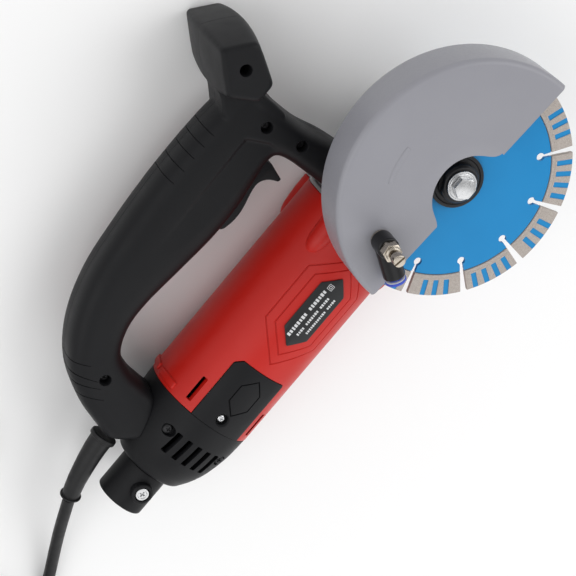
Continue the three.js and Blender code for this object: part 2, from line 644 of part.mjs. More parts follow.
const elbow = cut(joined([rod('y', 6.9, -100, -86.9, fittingAt, 16), armRod(6.3, 0, 23)]),
  rod('y', 4.5, -101, -86, fittingAt, 14), armRod(5.1, 14, 24), armRod(2, 3, 24, 8));
piece('hose_elbow', elbow, BLACK);
const collarBody = cut(joined([armRod(4.8, 17, 25.6), armRod(6, 25, 27.2)]), armRod(3.1, 16, 28, 10));
piece('release_collar', collarBody, BLUE);

// ---------------------------------------------------------------- loop handle
// Across the loop from its hand side to its outside, [x, z] each, from the front leg's foot round to
// the rear leg's.
const LOOP_RIBS = [
  [[-58.2, 34], [-30.5, 34]], [[-58.2, 58], [-32, 58]], [[-58.6, 72], [-35.6, 80]],
  [[-61, 79.6], [-35.4, 106]],
  [[-66.5, 81.2], [-38, 126]], [[-76, 80.4], [-60, 131]], [[-88, 78.4], [-82, 132.6]],
  [[-102, 76.6], [-104, 133]],
  [[-126, 76.4], [-124, 132.6]], [[-155, 79.5], [-153, 130.6]], [[-185, 83], [-190, 126]],
  [[-205, 82], [-222, 115.5]],
  [[-222, 74], [-247, 99]], [[-230, 59], [-262.5, 78]], [[-232.5, 45], [-271.5, 56]],
  [[-234.5, 34], [-275, 41]],
  [[-244, 26.5], [-266, 27.5]],
];

/**
 * A solid through rounded four-sided ribs: each spans from its inner to its outer edge, and +-half
 * along y.
 */
function lofted(ribs, half, shrink, samples = 18, sides = 12) {
  const edgeAt = (end) => new THREE.SplineCurve(ribs.map((rib) => new THREE.Vector2(...rib[end])));
  const edges = [edgeAt(0), edgeAt(1)];
  const geometry = new THREE.CylinderGeometry(1, 1, samples, sides, samples);
  const place = geometry.attributes.position;
  const squared = (value) => Math.sign(value) * Math.abs(value) ** 0.6;
  for (let i = 0; i < place.count; i += 1) {
    const share = place.getY(i) / samples + 0.5;
    const [inner, outer] = edges.map((edge) => edge.getPoint(share));
    const middle = inner.clone().add(outer).multiplyScalar(0.5);
    const reach = outer.clone().sub(middle);
    reach.setLength(reach.length() - shrink);
    const [across, sideways] = [squared(place.getX(i)), squared(place.getZ(i))];
    place.setXYZ(i, middle.x + reach.x * across, (half - shrink) * sideways, middle.y + reach.y * across);
  }
  return solid(geometry);
}

/** The section of the cross grip at its ends: five flats with rounded corners between them. */
function gripOutline() {
  const path = new THREE.Shape();
  path.moveTo(-44.4, 147.6);
  path.lineTo(-29, 165.3);
  path.quadraticCurveTo(-27, 167.6, -24.8, 165.6);
  path.lineTo(-12.9, 154.7);
  path.quadraticCurveTo(-9.9, 152, -11.9, 148.5);
  path.lineTo(-22.3, 130.1);
  path.quadraticCurveTo(-24.3, 126.6, -28.3, 126.6);
  path.lineTo(-34.2, 126.7);
  path.quadraticCurveTo(-37.6, 126.8, -39.4, 130.2);
  path.lineTo(-45.2, 141.2);
  path.quadraticCurveTo(-47, 144.6, -44.4, 147.6);
  return path;
}

/**
 * The cross grip, fuller in the middle of its length and rounded at its ends; shrink makes its
 * inside.
 */
function crossGrip(shrink) {
  const sides = 20;
  const outline = gripOutline().getSpacedPoints(sides);
  const centre = new THREE.Vector2(GRIP.x, GRIP.z);
  const shares = [-1, -0.93, -0.62, -0.31, 0, 0.31, 0.62, 0.93, 1];
  const last = shares.length - 1;
  const geometry = new THREE.CylinderGeometry(1, 1, last, sides, last);
  const place = geometry.attributes.position;
  for (let i = 0; i < place.count; i += 1) {
    const share = shares[Math.round(place.getY(i) + last / 2)];
    const [x, z] = [place.getX(i), place.getZ(i)];
    const point = outline[Math.round((Math.atan2(z, x) / (2 * Math.PI) + 1) * sides) % sides].clone();
    const out = GRIP.swell * (1 - share * share) - (Math.abs(share) === 1 ? GRIP.round : 0) - shrink;
    const arm = point.sub(centre);
    arm.setLength(Math.hypot(x, z) < 0.5 ? 0 : arm.length() + out);
    place.setXYZ(i, centre.x + arm.x, share * (GRIP.half - shrink), centre.y + arm.y);
  }
  return solid(geometry);
}

/** The neck that carries the cross grip on the loop's front corner. */
const neck = () => slab(polygon([[-36, 92], [-34, 118], [-29, 138], [-40, 150], [-47, 146], [-52.5, 136],
  [-61, 128.5], [-76, 110]]), 2 - HANDLE.half, HANDLE.half - 2, 2);

function handleOutside() {
  return joined([lofted(LOOP_RIBS, HANDLE.half, 0), neck(), crossGrip(0)]);
}

function handleInside() {
  const { half, wall } = HANDLE;
  const foot = [[-58.2, 28], [-30.5, 28]];
  const end = [[-240, 31], [-270, 33]];
  const loop = lofted([foot, ...LOOP_RIBS.slice(1, -1), end], half, wall);
  return loop.add(crossGrip(wall));
}

/** Both halves of the handle in one, still joined at the parting plane. */
function handleWhole() {
  const outside = handleOutside();
  let body = cut(outside, handleInside());
  const screws = [...HANDLE_SCREWS, GRIP_SCREW];
  const bosses = screws.map((centre) => rod('y', 6.4, -GRIP.half, GRIP.half, centre, SMALL_ROUND));
  body = body.add(joined(bosses).intersect(outside));
  for (const [i, centre] of screws.entries()) {
    const seat = i < HANDLE_SCREWS.length ? -11.3 : -20;
    body = cut(body, rod('y', 3.7, -60, seat, centre, SMALL_ROUND),
      rod('y', 2.2, seat - 1, 12, centre, 10));
  }
  const triggerSlot = block([-126, -65.4], [-8.6, 8.6], [60, 86]);
  const lockHole = rod('y', LOCK.radius + 0.4, 10, 30, [LOCK.x, LOCK.z], 20);
  const cordHole = rod('x', 7.4, -290, -262, [0, 40], 20);
  const pinHole = rod('y', 2.2, -13, 13, TRIGGER_PIVOT, 12);
  const pinPosts = [-1, 1].map((side) => (
    rod('y', 4.6, side < 0 ? -16 : 9.2, side < 0 ? -9.2 : 16, TRIGGER_PIVOT, SMALL_ROUND)
  ));
  body = body.add(joined(pinPosts));
  return cut(body, triggerSlot, lockHole, cordHole, pinHole, motorOutside(GAP),
    block([-60, -20], [-30, 30], [20, 38.8]));
}

function trigger() {
  const outline = new THREE.Shape();
  outline.moveTo(-121.5, 86);
  outline.bezierCurveTo(-121.5, 92, -112, 92, -110.5, 88);
  outline.lineTo(-78, 85);
  outline.lineTo(-67.6, 84);
  outline.lineTo(-66.9, 76.6);
  outline.lineTo(-71, 65.2);
  outline.bezierCurveTo(-72, 64.8, -73, 65, -73.6, 66);
  outline.bezierCurveTo(-75, 71, -78, 76, -84, 76);
  outline.bezierCurveTo(-94, 75.6, -102, 69, -117, 73.5);
  outline.bezierCurveTo(-121, 75, -121.5, 80, -121.5, 86);
  return cut(slab(outline, -8.1, 8.1), rod('y', 2.3, -10, 10, TRIGGER_PIVOT, 12));
}

const handle = handleWhole();
piece('handle_shell_right', handle.intersect(sideOf(-GAP / 2, -1)), BLACK);
piece('handle_shell_left', handle.intersect(sideOf(GAP / 2, 1)), BLACK);
for (const [i, centre] of HANDLE_SCREWS.entries()) {
  piece(`handle_screw_${i + 1}`, screw(3.2, 1.9, [-14, -11.6, 10], centre), ZINC);
}
piece('handle_screw_4', screw(3.2, 1.9, [-22.7, -20.3, 10], GRIP_SCREW), ZINC);
piece('trigger', trigger(), BLACK);
piece('trigger_pin', rod('y', 1.9, -12.5, 12.5, TRIGGER_PIVOT, 12), STEEL);

const switchBody = block([-128, -74], [-9, 9], [98.5, 124]).add(block([-96, -90], [-4, 4], [93.5, 99]));
piece('switch_body', cut(switchBody, rod('y', 3, 5, 12, [LOCK.x, LOCK.z + 8], 12)), BLACK);
piece('lock_button', joined([rod('y', LOCK.radius, 13, 21.5, [LOCK.x, LOCK.z], 20),
  rod('y', 3, 9.4 + 3.2, 14, [LOCK.x, LOCK.z], 12)]), RED);

// ---------------------------------------------------------------- cord and plug, on the floor
// From here on z is the height over the floor: x stays, y is the tool's own z, and the motor axis is at
// REST.
const reliefCurve = new THREE.CatmullRomCurve3([
  [-278, 39.6, 40], [-290, 38.6, 39.8], [-304, 35.6, 38.8], [-318, 31.6, 37.2], [-330.4, 26.2, 34.6],
].map((point) => new THREE.Vector3(...point)));
const relief = tapered(reliefCurve, [[0, 0], [9.4, 0], [9.4, 0.045], [8.3, 0.06], [7.8, 0.3], [6.7, 0.7],
  [6, 0.93],
  [6.8, 0.95], [6.8, 0.985], [5, 1], [0, 1]]);
piece('strain_relief', relief, RUBBER, chaser);

// The cord drops from the relief to the floor and runs straight into the coil's lowest, outermost turn.
const CORD_ROUTE = [
  [-331.3, 25.8, 34.35], [-343.5, 18.6, 30], [-359, 8.8, 23], [-377, -3.4, 14.8], [-398, -17, 8],
  [-414, -25.8, 5.2],
  [-432, -34.3, 4.4], [-451, -43.1, 4.4], [-470, -52, 4.4],
];
// The far end leaves the coil's top turn and comes down to the plug.
const TAIL_ROUTE = [
  [-520.2, 55.8, 21.4], [-506, 62.6, 21.3], [-492, 69.6, 20.4], [-478, 76.8, 18.2], [-464, 84, 15.2],
  [-450, 90.6, 12.4], [-436, 96, 10.5], [-422, 99.8, 9.7], [-408, 101.6, 9.6], [-393, 102, 9.6],
];

const routeCurve = (route) => new THREE.CatmullRomCurve3(route.map((point) => new THREE.Vector3(...point)));
const cordCurve = routeCurve(CORD_ROUTE);
const tailCurve = routeCurve(TAIL_ROUTE);

/** The outer shape of the coil, and with a gap round it the room that it takes. */
function coilShape(grow) {
  const { centre, middle, rows, entry } = COIL;
  const lead = 2 * CORD.radius;
  const inner = middle - 1.5 * lead - grow;
  const outer = middle + 1.5 * lead + grow;
  const wound = ring('z', inner, outer, 0, rows * lead + grow, centre, 32);
  const half = block([-200, 200], [-200, 0], [0, 60]).rotate([0, 0, entry + 90]);
  const top = ring('z', outer - lead - 2 * grow, outer, rows * lead - 0.5, (rows + 1) * lead + grow,
    [0, 0], 32);
  return wound.add(top.intersect(half.rotate([0, 0, -90])).translate([...centre, 0]));
}

piece('cord', cut(tube(cordCurve, CORD.radius, 10, CORD.sides), coilShape(GAP)), RUBBER, chaser);
piece('cord_coil', coilShape(0), RUBBER, chaser);
piece('cord_tail', cut(tube(tailCurve, CORD.radius, 12, CORD.sides), coilShape(GAP)), RUBBER, chaser);

/** A moulded two-blade plug lying on its flat side, pointing along +x. */
function plug() {
  const from = TAIL_ROUTE.at(-1)[0] + GAP;
  const [, y, z] = TAIL_ROUTE.at(-1);
  const body = block([from + 22, from + 50], [y - 13, y + 13], [0.2, 19]);
  const neck = turned('x', [[0, from], [5.4, from], [6.4, from + 6], [9, from + 23], [0, from + 23]],
    [y, z], 20);
  const blades = [-6.35, 6.35].map((side) => (
    block([from + 49, from + 67], [y + side - 0.8, y + side + 0.8], [z - 3.2, z + 3.2])
  ));
  return joined([body, neck, ...blades]);
}
piece('plug', plug(), RUBBER, chaser);

export default chaser;
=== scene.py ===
"""Looks for the wall chaser: plastic body and loop handle, painted guard, diamond blade, cord and plug.

Shapes are built in millimetres in the tool's own frame: +x forward along the motor axis, +z to the loop
handle, +y to the operator's left, the blade on the -y side, origin where the motor axis meets the spindle
axis. place() turns them into the row frame, where the tool lies on its left side with the blade up. The
cord, the coil and the plug are built in the row frame itself, also in millimetres.
"""

import math

import bmesh
import bpy
import numpy as np
from mathutils import Matrix, Vector


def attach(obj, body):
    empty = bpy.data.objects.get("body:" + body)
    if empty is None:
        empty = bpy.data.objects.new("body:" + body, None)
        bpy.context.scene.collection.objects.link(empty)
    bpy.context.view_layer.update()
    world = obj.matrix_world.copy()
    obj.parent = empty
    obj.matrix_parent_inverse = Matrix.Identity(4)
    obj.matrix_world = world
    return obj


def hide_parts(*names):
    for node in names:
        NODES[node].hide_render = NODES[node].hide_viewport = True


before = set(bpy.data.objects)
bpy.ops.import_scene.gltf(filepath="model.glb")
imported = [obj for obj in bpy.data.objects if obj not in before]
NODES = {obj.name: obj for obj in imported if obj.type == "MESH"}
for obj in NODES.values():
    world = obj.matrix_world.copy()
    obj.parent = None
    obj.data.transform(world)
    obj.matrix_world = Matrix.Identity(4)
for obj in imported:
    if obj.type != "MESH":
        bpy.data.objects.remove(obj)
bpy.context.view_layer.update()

# ------------------------------------------------------------------ driving dimensions, mm
MM = 0.001
REST = 40.0  # the motor axis stands this high over the floor
BODY_R = 39.5
HOUSING_REAR, HOUSING_FRONT = -224.3, -63.0
CAP_REAR = -280.0
BOSS = 26.0  # the gear case's four screw bosses stand at +-this in y and z
SOCKET_R, SOCKET_BORE, SOCKET_REAR, SOCKET_SCREW_X = 17.4, 14.4, -310.7, -293.7
COVER = {"rear": -222.5, "front": -176.0, "half": 20.0, "screw": (-216.0, 2.0)}
CAP_SCREW = (-243.2, 22.5)
CASE_R, NECK_R = 34.5, 24.0  # the gear case's head, and the neck that carries the guard
PLATE = {"rear": -151.5, "front": -94.8, "top": 11.5, "bottom": -8.2}
BLADE_Y, BLADE_CORE, BLADE_R, BLADE_BAND = -59.5, 2.2, 80.0, 65.5
KEYHOLE = {"x": 58.0, "radius": 2.65, "first": 40.9}  # the blade's 12 slots; first is in degrees
POCKET = {"from": 69.2, "to": 82.0, "half": 1.8, "pitch": 5.9, "deep": 0.4}  # pitch is in degrees
SLOTS = 12
GUARD_R, GUARD_WALL, GUARD_FRONT, GUARD_BACK, GUARD_EDGE, GUARD_TILT = 86.0, 2.6, -85.0, -52.5, 2.0, 2.7
FITTING = (-54.5, 29.0)
ARM = (-0.516, -0.856)
ARM_Y = -93.2
HANDLE_HALF = 19.0
GRIP = {"x": -28.0, "z": 147.5, "half": 40.0, "swell": 4.2}
GRIP_SCREW = (-27.5, 147.0)
HANDLE_SCREWS = [(-49.2, 101.4), (-45.2, 74.2), (-240.3, 75.3)]
TRIGGER_PIVOT = (-116.0, 86.0)
LOCK = (-104.0, 106.0)
CORD_R = 4.25
COIL_CENTRE, COIL_MIDDLE, COIL_ENTRY = (-495.1, 1.9), 51.0, -65.0
COIL_CHANGE = 0.17  # the last share of each turn, in which the coil moves over to the next turn

MIRROR = Matrix.Diagonal((1, -1, 1, 1))
TOOL = Matrix.Translation((0, 0, REST * MM)) @ Matrix.Rotation(-math.pi / 2, 4, "X") @ Matrix.Scale(MM, 4)
ROW = Matrix.Scale(MM, 4)


# ------------------------------------------------------------------ camera
# Its lens in mm, its place in metres, and the directions to its right and behind it, in the row frame.
CAMERA = {"lens": 109.76, "place": (0.053226, 0.597314, 1.012078), "right": (0.6374, -0.7047, 0.3115),
          "back": (0.1565, 0.5143, 0.8432)}


def set_camera():
    """Stands the camera over the tool's blade side, a little forward and to the handle's side of it."""
    data = bpy.data.cameras.new("camera")
    data.lens = CAMERA["lens"]
    data.sensor_width = 36
    data.clip_end = 20
    camera = bpy.data.objects.new("camera", data)
    bpy.context.scene.collection.objects.link(camera)
    right = Vector(CAMERA["right"]).normalized()
    back = Vector(CAMERA["back"])
    back = (back - right * back.dot(right)).normalized()
    turn = Matrix((right, back.cross(right), back)).transposed().to_4x4()
    camera.matrix_world = Matrix.Translation(CAMERA["place"]) @ turn
    bpy.context.scene.camera = camera


set_camera()


# ------------------------------------------------------------------ mesh helpers
def linked(name, mesh):
    obj = bpy.data.objects.new(name, mesh)
    bpy.context.scene.collection.objects.link(obj)
    return obj


def remove(obj):
    data = obj.data
    bpy.data.objects.remove(obj)
    if data.users == 0:
        bpy.data.meshes.remove(data)


def face_out(mesh, merge=False):
    """Turns a closed mesh's faces outwards, with doubled points merged first if asked."""
    work = bmesh.new()
    work.from_mesh(mesh)
    if merge:
        bmesh.ops.remove_doubles(work, verts=work.verts, dist=1e-5)
    bmesh.ops.recalc_face_normals(work, faces=work.faces)
    if work.calc_volume(signed=True) < 0:
        bmesh.ops.reverse_faces(work, faces=work.faces)
    work.to_mesh(mesh)
    work.free()


def from_faces(verts, faces, name="part"):
    """An object from points and faces, with its faces turned outwards."""
    mesh = bpy.data.meshes.new(name)
    mesh.from_pydata([tuple(v) for v in verts], [], faces)
    face_out(mesh, merge=True)
    return linked(name, mesh)


def settle(obj):
    """Applies the modifiers to the mesh."""
    graph = bpy.context.evaluated_depsgraph_get()
    mesh = bpy.data.meshes.new_from_object(obj.evaluated_get(graph))
    old = obj.data
    obj.modifiers.clear()
    obj.data = mesh
    bpy.data.meshes.remove(old)
    return obj


def combine(body, operation, tools):
    """Joins, cuts or meets a solid with each tool in turn; the tools are used up."""
    for tool in tools:
        modifier = body.modifiers.new("boolean", "BOOLEAN")
        modifier.operation = operation
        modifier.solver = "MANIFOLD"
        modifier.object = tool
        settle(body)
        remove(tool)
    return body


def cut(body, *tools):
    return combine(body, "DIFFERENCE", tools)


def join(body, *others):
    return combine(body, "UNION", others)


def common(body, *others):
    return combine(body, "INTERSECT", others)


def bevelled(obj, width, segments=3, angle=40):
    modifier = obj.modifiers.new("bevel", "BEVEL")
    modifier.width = width
    modifier.segments = segments
    modifier.limit_method = "ANGLE"
    modifier.angle_limit = math.radians(angle)
    modifier.use_clamp_overlap = True
    return settle(obj)


def remeshed(obj, voxel, rounds):
    """Rebuilds the surface on a fine grid, which rounds every inner and outer corner, and smooths it."""
    modifier = obj.modifiers.new("remesh", "REMESH")
    modifier.mode = "VOXEL"
    modifier.voxel_size = voxel
    settle(obj)
    modifier = obj.modifiers.new("smooth", "SMOOTH")
    modifier.factor = 0.5
    modifier.iterations = rounds
    return settle(obj)


def moved(obj, matrix):
    obj.data.transform(matrix)
    if matrix.determinant() < 0:
        obj.data.flip_normals()
    return obj


def shifted(obj, x=0.0, y=0.0, z=0.0):
    return moved(obj, Matrix.Translation((x, y, z)))


def spun(obj, degrees):
    """Turns an object about the y axis, from +x towards +z."""
    return moved(obj, Matrix.Rotation(-math.radians(degrees), 4, "Y"))


def copied(obj):
    return linked(obj.name, obj.data.copy())


def mirrored(obj):
    """A copy in a mirror across the plane y = 0."""
    return moved(copied(obj), MIRROR)


def fillet(points, radii, steps=5):
    """A closed or open outline with its corners rounded: one radius for each point, 0 keeps it sharp."""
    rounded = []
    count = len(points)
    for i, (point, radius) in enumerate(zip(points, radii)):
        here = Vector(point)
        if radius <= 0:
            rounded.append(tuple(here))
            continue
        before = Vector(points[i - 1]) - here
        after = Vector(points[(i + 1) % count]) - here
        half = before.angle(after) / 2
        run = min(radius / math.tan(half), before.length * 0.499, after.length * 0.499)
        start, end = here + before.normalized() * run, here + after.normalized() * run
        for k in range(steps + 1):
            t = k / steps
            rounded.append(tuple(start * (1 - t) ** 2 + here * 2 * t * (1 - t) + end * t * t))
    return rounded


def spline(points, steps):
    """A smooth line through the points (Catmull-Rom), open."""
    rows = [Vector(p) for p in points]
    rows = [rows[0] * 2 - rows[1], *rows, rows[-1] * 2 - rows[-2]]
    line = []
    for a, b, c, d in zip(rows, rows[1:], rows[2:], rows[3:]):
        for k in range(steps):
            t = k / steps
            line.append(0.5 * ((2 * b) + (c - a) * t + (2 * a - 5 * b + 4 * c - d) * t * t
                               + (3 * b - 3 * c + d - a) * t ** 3))
    line.append(rows[-2])
    return line


def bezier(start, *parts, steps):
    """An outline of cubic Bezier parts, each (handle, handle, end), or (end,) for a straight part."""
    line, here = [Vector(start)], Vector(start)
    for part in parts:
        if len(part) == 1:
            here = Vector(part[0])
            line.append(here)
            continue
        p1, p2, p3 = (Vector(p) for p in part)
        for k in range(1, steps + 1):
            t = k / steps
            line.append(here * (1 - t) ** 3 + p1 * 3 * t * (1 - t) ** 2 + p2 * 3 * t * t * (1 - t)
                        + p3 * t ** 3)
        here = p3
    return [tuple(p) for p in line]


def divided(points, longest):
    """The same outline with points added so that no straight run is longer than asked."""
    line = [tuple(points[0])]
    for a, b in zip(points, points[1:]):
        parts = max(1, math.ceil((Vector(b) - Vector(a)).length / longest))
        line += [tuple(Vector(a).lerp(Vector(b), k / parts)) for k in range(1, parts + 1)]
    return line


def skinned(verts, rows):
    """A solid over rows of point numbers, where a row that is one point throughout closes to a tip."""
    faces, steps = [], len(rows[0])
    for low, high in zip(rows, rows[1:]):
        for i in range(steps):
            j = (i + 1) % steps
            face = [low[i], low[j], high[j], high[i]]
            face = [v for k, v in enumerate(face) if v != face[k - 1]]
            if len(set(face)) > 2:
                faces.append(face)
    return from_faces(verts, faces)


AXES = {"x": ((0, 1, 0), (0, 0, 1), (1, 0, 0)), "y": ((0, 0, 1), (1, 0, 0), (0, 1, 0)),
        "z": ((1, 0, 0), (0, 1, 0), (0, 0, 1))}


def lathe(axis, profile, centre=(0, 0), steps=128, closed=False, turn=0.0):
    """A solid of revolution from (radius, place along the axis) points. centre is in the order x, y, z."""
    first, second, ahead = (Vector(v) for v in AXES[axis])
    move = Vector({"x": (0, *centre), "y": (centre[0], 0, centre[1]), "z": (*centre, 0)}[axis])
    verts, rows = [], []
    for radius, place in profile:
        if radius < 1e-6:
            rows.append([len(verts)] * steps)
            verts.append(ahead * place + move)
            continue
        rows.append(list(range(len(verts), len(verts) + steps)))
        for i in range(steps):
            angle = 2 * math.pi * i / steps + turn
            verts.append(ahead * place + (first * math.cos(angle) + second * math.sin(angle)) * radius + move)
    return skinned(verts, rows + rows[:1] if closed else rows)


def rod(axis, radius, low, high, centre=(0, 0), steps=48, edge=0.0, turn=0.0):
    """A round bar, or with few steps a many-sided one, with rounded ends if asked."""
    profile = [(0, low), (radius, low), (radius, high), (0, high)]
    return lathe(axis, fillet(profile, [0, edge, edge, 0], 4), centre, steps, turn=turn)


def ring(axis, inner, outer, low, high, centre=(0, 0), steps=96, edge=0.0):
    profile = [(inner, low), (outer, low), (outer, high), (inner, high)]
    return lathe(axis, fillet(profile, [edge] * 4, 4), centre, steps, closed=True)


def box(x, y, z, edge=0.0):
    verts = [(a, b, c) for a in x for b in y for c in z]
    faces = [(0, 1, 3, 2), (4, 6, 7, 5), (0, 4, 5, 1), (2, 3, 7, 6), (0, 2, 6, 4), (1, 5, 7, 3)]
    obj = from_faces(verts, faces)
    return bevelled(obj, edge) if edge else obj


def prism(outline, low, high, edge=0.0, segments=3, axis="y"):
    """An (x, z) outline, or (x, y) for the z axis, drawn out between two places along the axis."""
    count = len(outline)
    spot = (lambda a, b, c: (a, c, b)) if axis == "y" else (lambda a, b, c: (a, b, c))
    verts = [spot(a, b, low) for a, b in outline] + [spot(a, b, high) for a, b in outline]
    faces = [list(range(count)), list(range(count, 2 * count))]
    faces += [[i, (i + 1) % count, count + (i + 1) % count, count + i] for i in range(count)]
    obj = from_faces(verts, faces)
    return bevelled(obj, edge, segments) if edge else obj


def diced(obj, x_step=None, z_step=None):
    """Cuts the faces along planes across x and z, so that a flat shape can be bent round the body."""
    work = bmesh.new()
    work.from_mesh(obj.data)
    for axis, step in ((0, x_step), (2, z_step)):
        if not step:
            continue
        places = [v.co[axis] for v in work.verts]
        low, high = min(places), max(places)
        count = int((high - low) / step)
        for i in range(1, count + 1):
            normal = Vector((axis == 0, 0, axis == 2))
            point = normal * (low + (high - low) * i / (count + 1))
            geometry = [*work.verts, *work.edges, *work.faces]
            bmesh.ops.bisect_plane(work, geom=geometry, plane_co=point, plane_no=normal, dist=1e-5)
    work.to_mesh(obj.data)
    work.free()
    return obj


def wrapped(obj):
    """Bends a flat shape round the motor body: its z becomes the length round the body from the -y side, and
    its y the height over the body's surface."""
    for vert in obj.data.vertices:
        x, height, around = vert.co
        angle = around / BODY_R
        vert.co = (x, -(BODY_R + height) * math.cos(angle), (BODY_R + height) * math.sin(angle))
    face_out(obj.data)
    return obj


def round_body(z):
    """The length round the body at which its surface stands at height z on the -y side."""
    return BODY_R * math.asin(z / BODY_R)


def swept(line, rings, steps):
    """A round solid along a line of points, from (radius, share of its length) rings."""
    points = [Vector(p) for p in line]
    lengths = [0.0]
    for a, b in zip(points, points[1:]):
        lengths.append(lengths[-1] + (b - a).length)
    verts, rows = [], []
    for radius, share in rings:
        want = share * lengths[-1]
        k = min(max(np.searchsorted(lengths, want), 1), len(points) - 1)
        part = (want - lengths[k - 1]) / (lengths[k] - lengths[k - 1])
        centre = points[k - 1].lerp(points[k], part)
        ahead = (points[k] - points[k - 1]).normalized()
        side = ahead.cross(Vector((0, 0, 1))).normalized()
        top = side.cross(ahead)
        rows.append(list(range(len(verts), len(verts) + steps)) if radius > 0 else [len(verts)] * steps)
        for i in range(steps if radius > 0 else 1):
            angle = 2 * math.pi * i / steps
            verts.append(centre + (side * math.cos(angle) + top * math.sin(angle)) * radius)
    return skinned(verts, rows)


def place(obj, name, finish, slot, body, *stands_for, matrix=TOOL, sharp=38):
    """Names a finished piece, turns it into the row frame, and hands it to the frame."""
    moved(obj, matrix)
    obj.name = obj.data.name = name
    obj.data.shade_smooth()
    obj.data.set_sharp_from_angle(angle=math.radians(sharp))
    if finish:
        obj.data.materials.clear()
        obj.data.materials.append(finish)
    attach(obj, body)
    if stands_for:
        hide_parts(*stands_for)
    return obj


# ------------------------------------------------------------------ materials
class Look:
    """A material with a Principled shader, and short calls for the nodes that drive it."""

    def __init__(self, name, **values):
        self.material = bpy.data.materials.new(name)
        self.material.use_nodes = True
        self.tree = self.material.node_tree
        self.shader = self.tree.nodes["Principled BSDF"]
        for key, value in values.items():
            self.shader.inputs[key.replace("_", " ")].default_value = value
        self.where = self.tree.nodes.new("ShaderNodeTexCoord").outputs["Object"]

    def link(self, source, target):
        if hasattr(source, "links"):
            self.tree.links.new(source, target)
        else:
            target.default_value = source

    def stretched(self, scale):
        node = self.tree.nodes.new("ShaderNodeMapping")
        node.inputs["Scale"].default_value = scale
        self.tree.links.new(self.where, node.inputs["Vector"])
        return node.outputs[0]

    def noise(self, per_metre, detail=3.0, rough=0.55, where=None):
        node = self.tree.nodes.new("ShaderNodeTexNoise")
        node.inputs["Scale"].default_value = per_metre
        node.inputs["Detail"].default_value = detail
        node.inputs["Roughness"].default_value = rough
        self.tree.links.new(where or self.where, node.inputs["Vector"])
        return node.outputs["Fac"]

    def cells(self, per_metre, feature="F1"):
        node = self.tree.nodes.new("ShaderNodeTexVoronoi")
        node.feature = feature
        node.inputs["Scale"].default_value = per_metre
        self.tree.links.new(self.where, node.inputs["Vector"])
        return node.outputs["Distance"]

    def ramp(self, value, low, high, to_low=0.0, to_high=1.0):
        node = self.tree.nodes.new("ShaderNodeMapRange")
        for key, number in (("From Min", low), ("From Max", high), ("To Min", to_low), ("To Max", to_high)):
            node.inputs[key].default_value = number
        self.tree.links.new(value, node.inputs["Value"])
        return node.outputs[0]

    def math(self, operation, a, b=0.0):
        node = self.tree.nodes.new("ShaderNodeMath")
        node.operation = operation
        self.link(a, node.inputs[0])
        self.link(b, node.inputs[1])
        return node.outputs[0]

    def mixed(self, share, a, b):
        node = self.tree.nodes.new("ShaderNodeMix")
        node.data_type = "RGBA"
        self.link(share, node.inputs["Factor"])
        self.link(a, node.inputs[6])
        self.link(b, node.inputs[7])
        return node.outputs[2]

    def colour(self, share, a, b):
        self.tree.links.new(self.mixed(share, (*a, 1), (*b, 1)), self.shader.inputs["Base Color"])

    def rough(self, value):
        self.tree.links.new(value, self.shader.inputs["Roughness"])

    def relief(self, *layers, edge=0.0):
        """Bumps, each (height, depth in metres), over softened edges of the given radius in metres."""
        normal = None
        if edge:
            node = self.tree.nodes.new("ShaderNodeBevel")
            node.samples = 6
            node.inputs["Radius"].default_value = edge
            normal = node.outputs[0]
        for height, depth in layers:
            node = self.tree.nodes.new("ShaderNodeBump")
            node.inputs["Strength"].default_value = 1.0
            node.inputs["Distance"].default_value = depth
            self.tree.links.new(height, node.inputs["Height"])
            if normal:
                self.tree.links.new(normal, node.inputs["Normal"])
            normal = node.outputs[0]
        self.tree.links.new(normal, self.shader.inputs["Normal"])


def moulded_plastic(name, low, high, rough, grain=0.00003, edge=0.0004, **values):
    """Injection-moulded plastic: a fine even texture, faint flow marks, and slightly uneven gloss."""
    look = Look(name, **values)
    clouds = look.noise(14, 2)
    look.colour(clouds, low, high)
    look.rough(look.ramp(look.noise(60, 4), 0.3, 0.7, rough - 0.04, rough + 0.05))
    look.relief((look.noise(2600, 2, 0.6), grain), (look.noise(40, 1), 0.00012), edge=edge)
    return look.material


def brushed_metal(name, low, high, rough, scale=(300, 300, 300), depth=0.000012, edge=0.0003, **values):
    """Plated or ground metal: fine tool marks, and a little dullness in patches."""
    look = Look(name, **{"Metallic": 1.0, **values})
    marks = look.noise(1, 4, 0.6, where=look.stretched(scale))
    look.colour(look.noise(90, 3), low, high)
    look.rough(look.ramp(marks, 0.3, 0.7, rough - 0.07, rough + 0.09))
    look.relief((marks, depth), edge=edge)
    return look.material


def cast_metal(name, low, high):
    look = Look(name, Metallic=1.0)
    grain = look.noise(900, 5, 0.65)
    look.colour(grain, low, high)
    look.rough(look.ramp(grain, 0.3, 0.7, 0.42, 0.62))
    look.relief((grain, 0.00009), (look.noise(160, 3), 0.00015), edge=0.0005)
    return look.material


def guard_paint():
    """Satin grey powder coat over sheet metal, with its fine orange-peel surface."""
    look = Look("guard_paint", Metallic=0.0, Coat_Weight=0.12, Coat_Roughness=0.22)
    look.colour(look.noise(24, 3), (0.235, 0.235, 0.262), (0.262, 0.262, 0.29))
    look.rough(look.ramp(look.noise(500, 3), 0.3, 0.7, 0.36, 0.46))
    look.relief((look.cells(900, "SMOOTH_F1"), 0.000035), (look.noise(1700, 2), 0.000018), edge=0.0005)
    return look.material


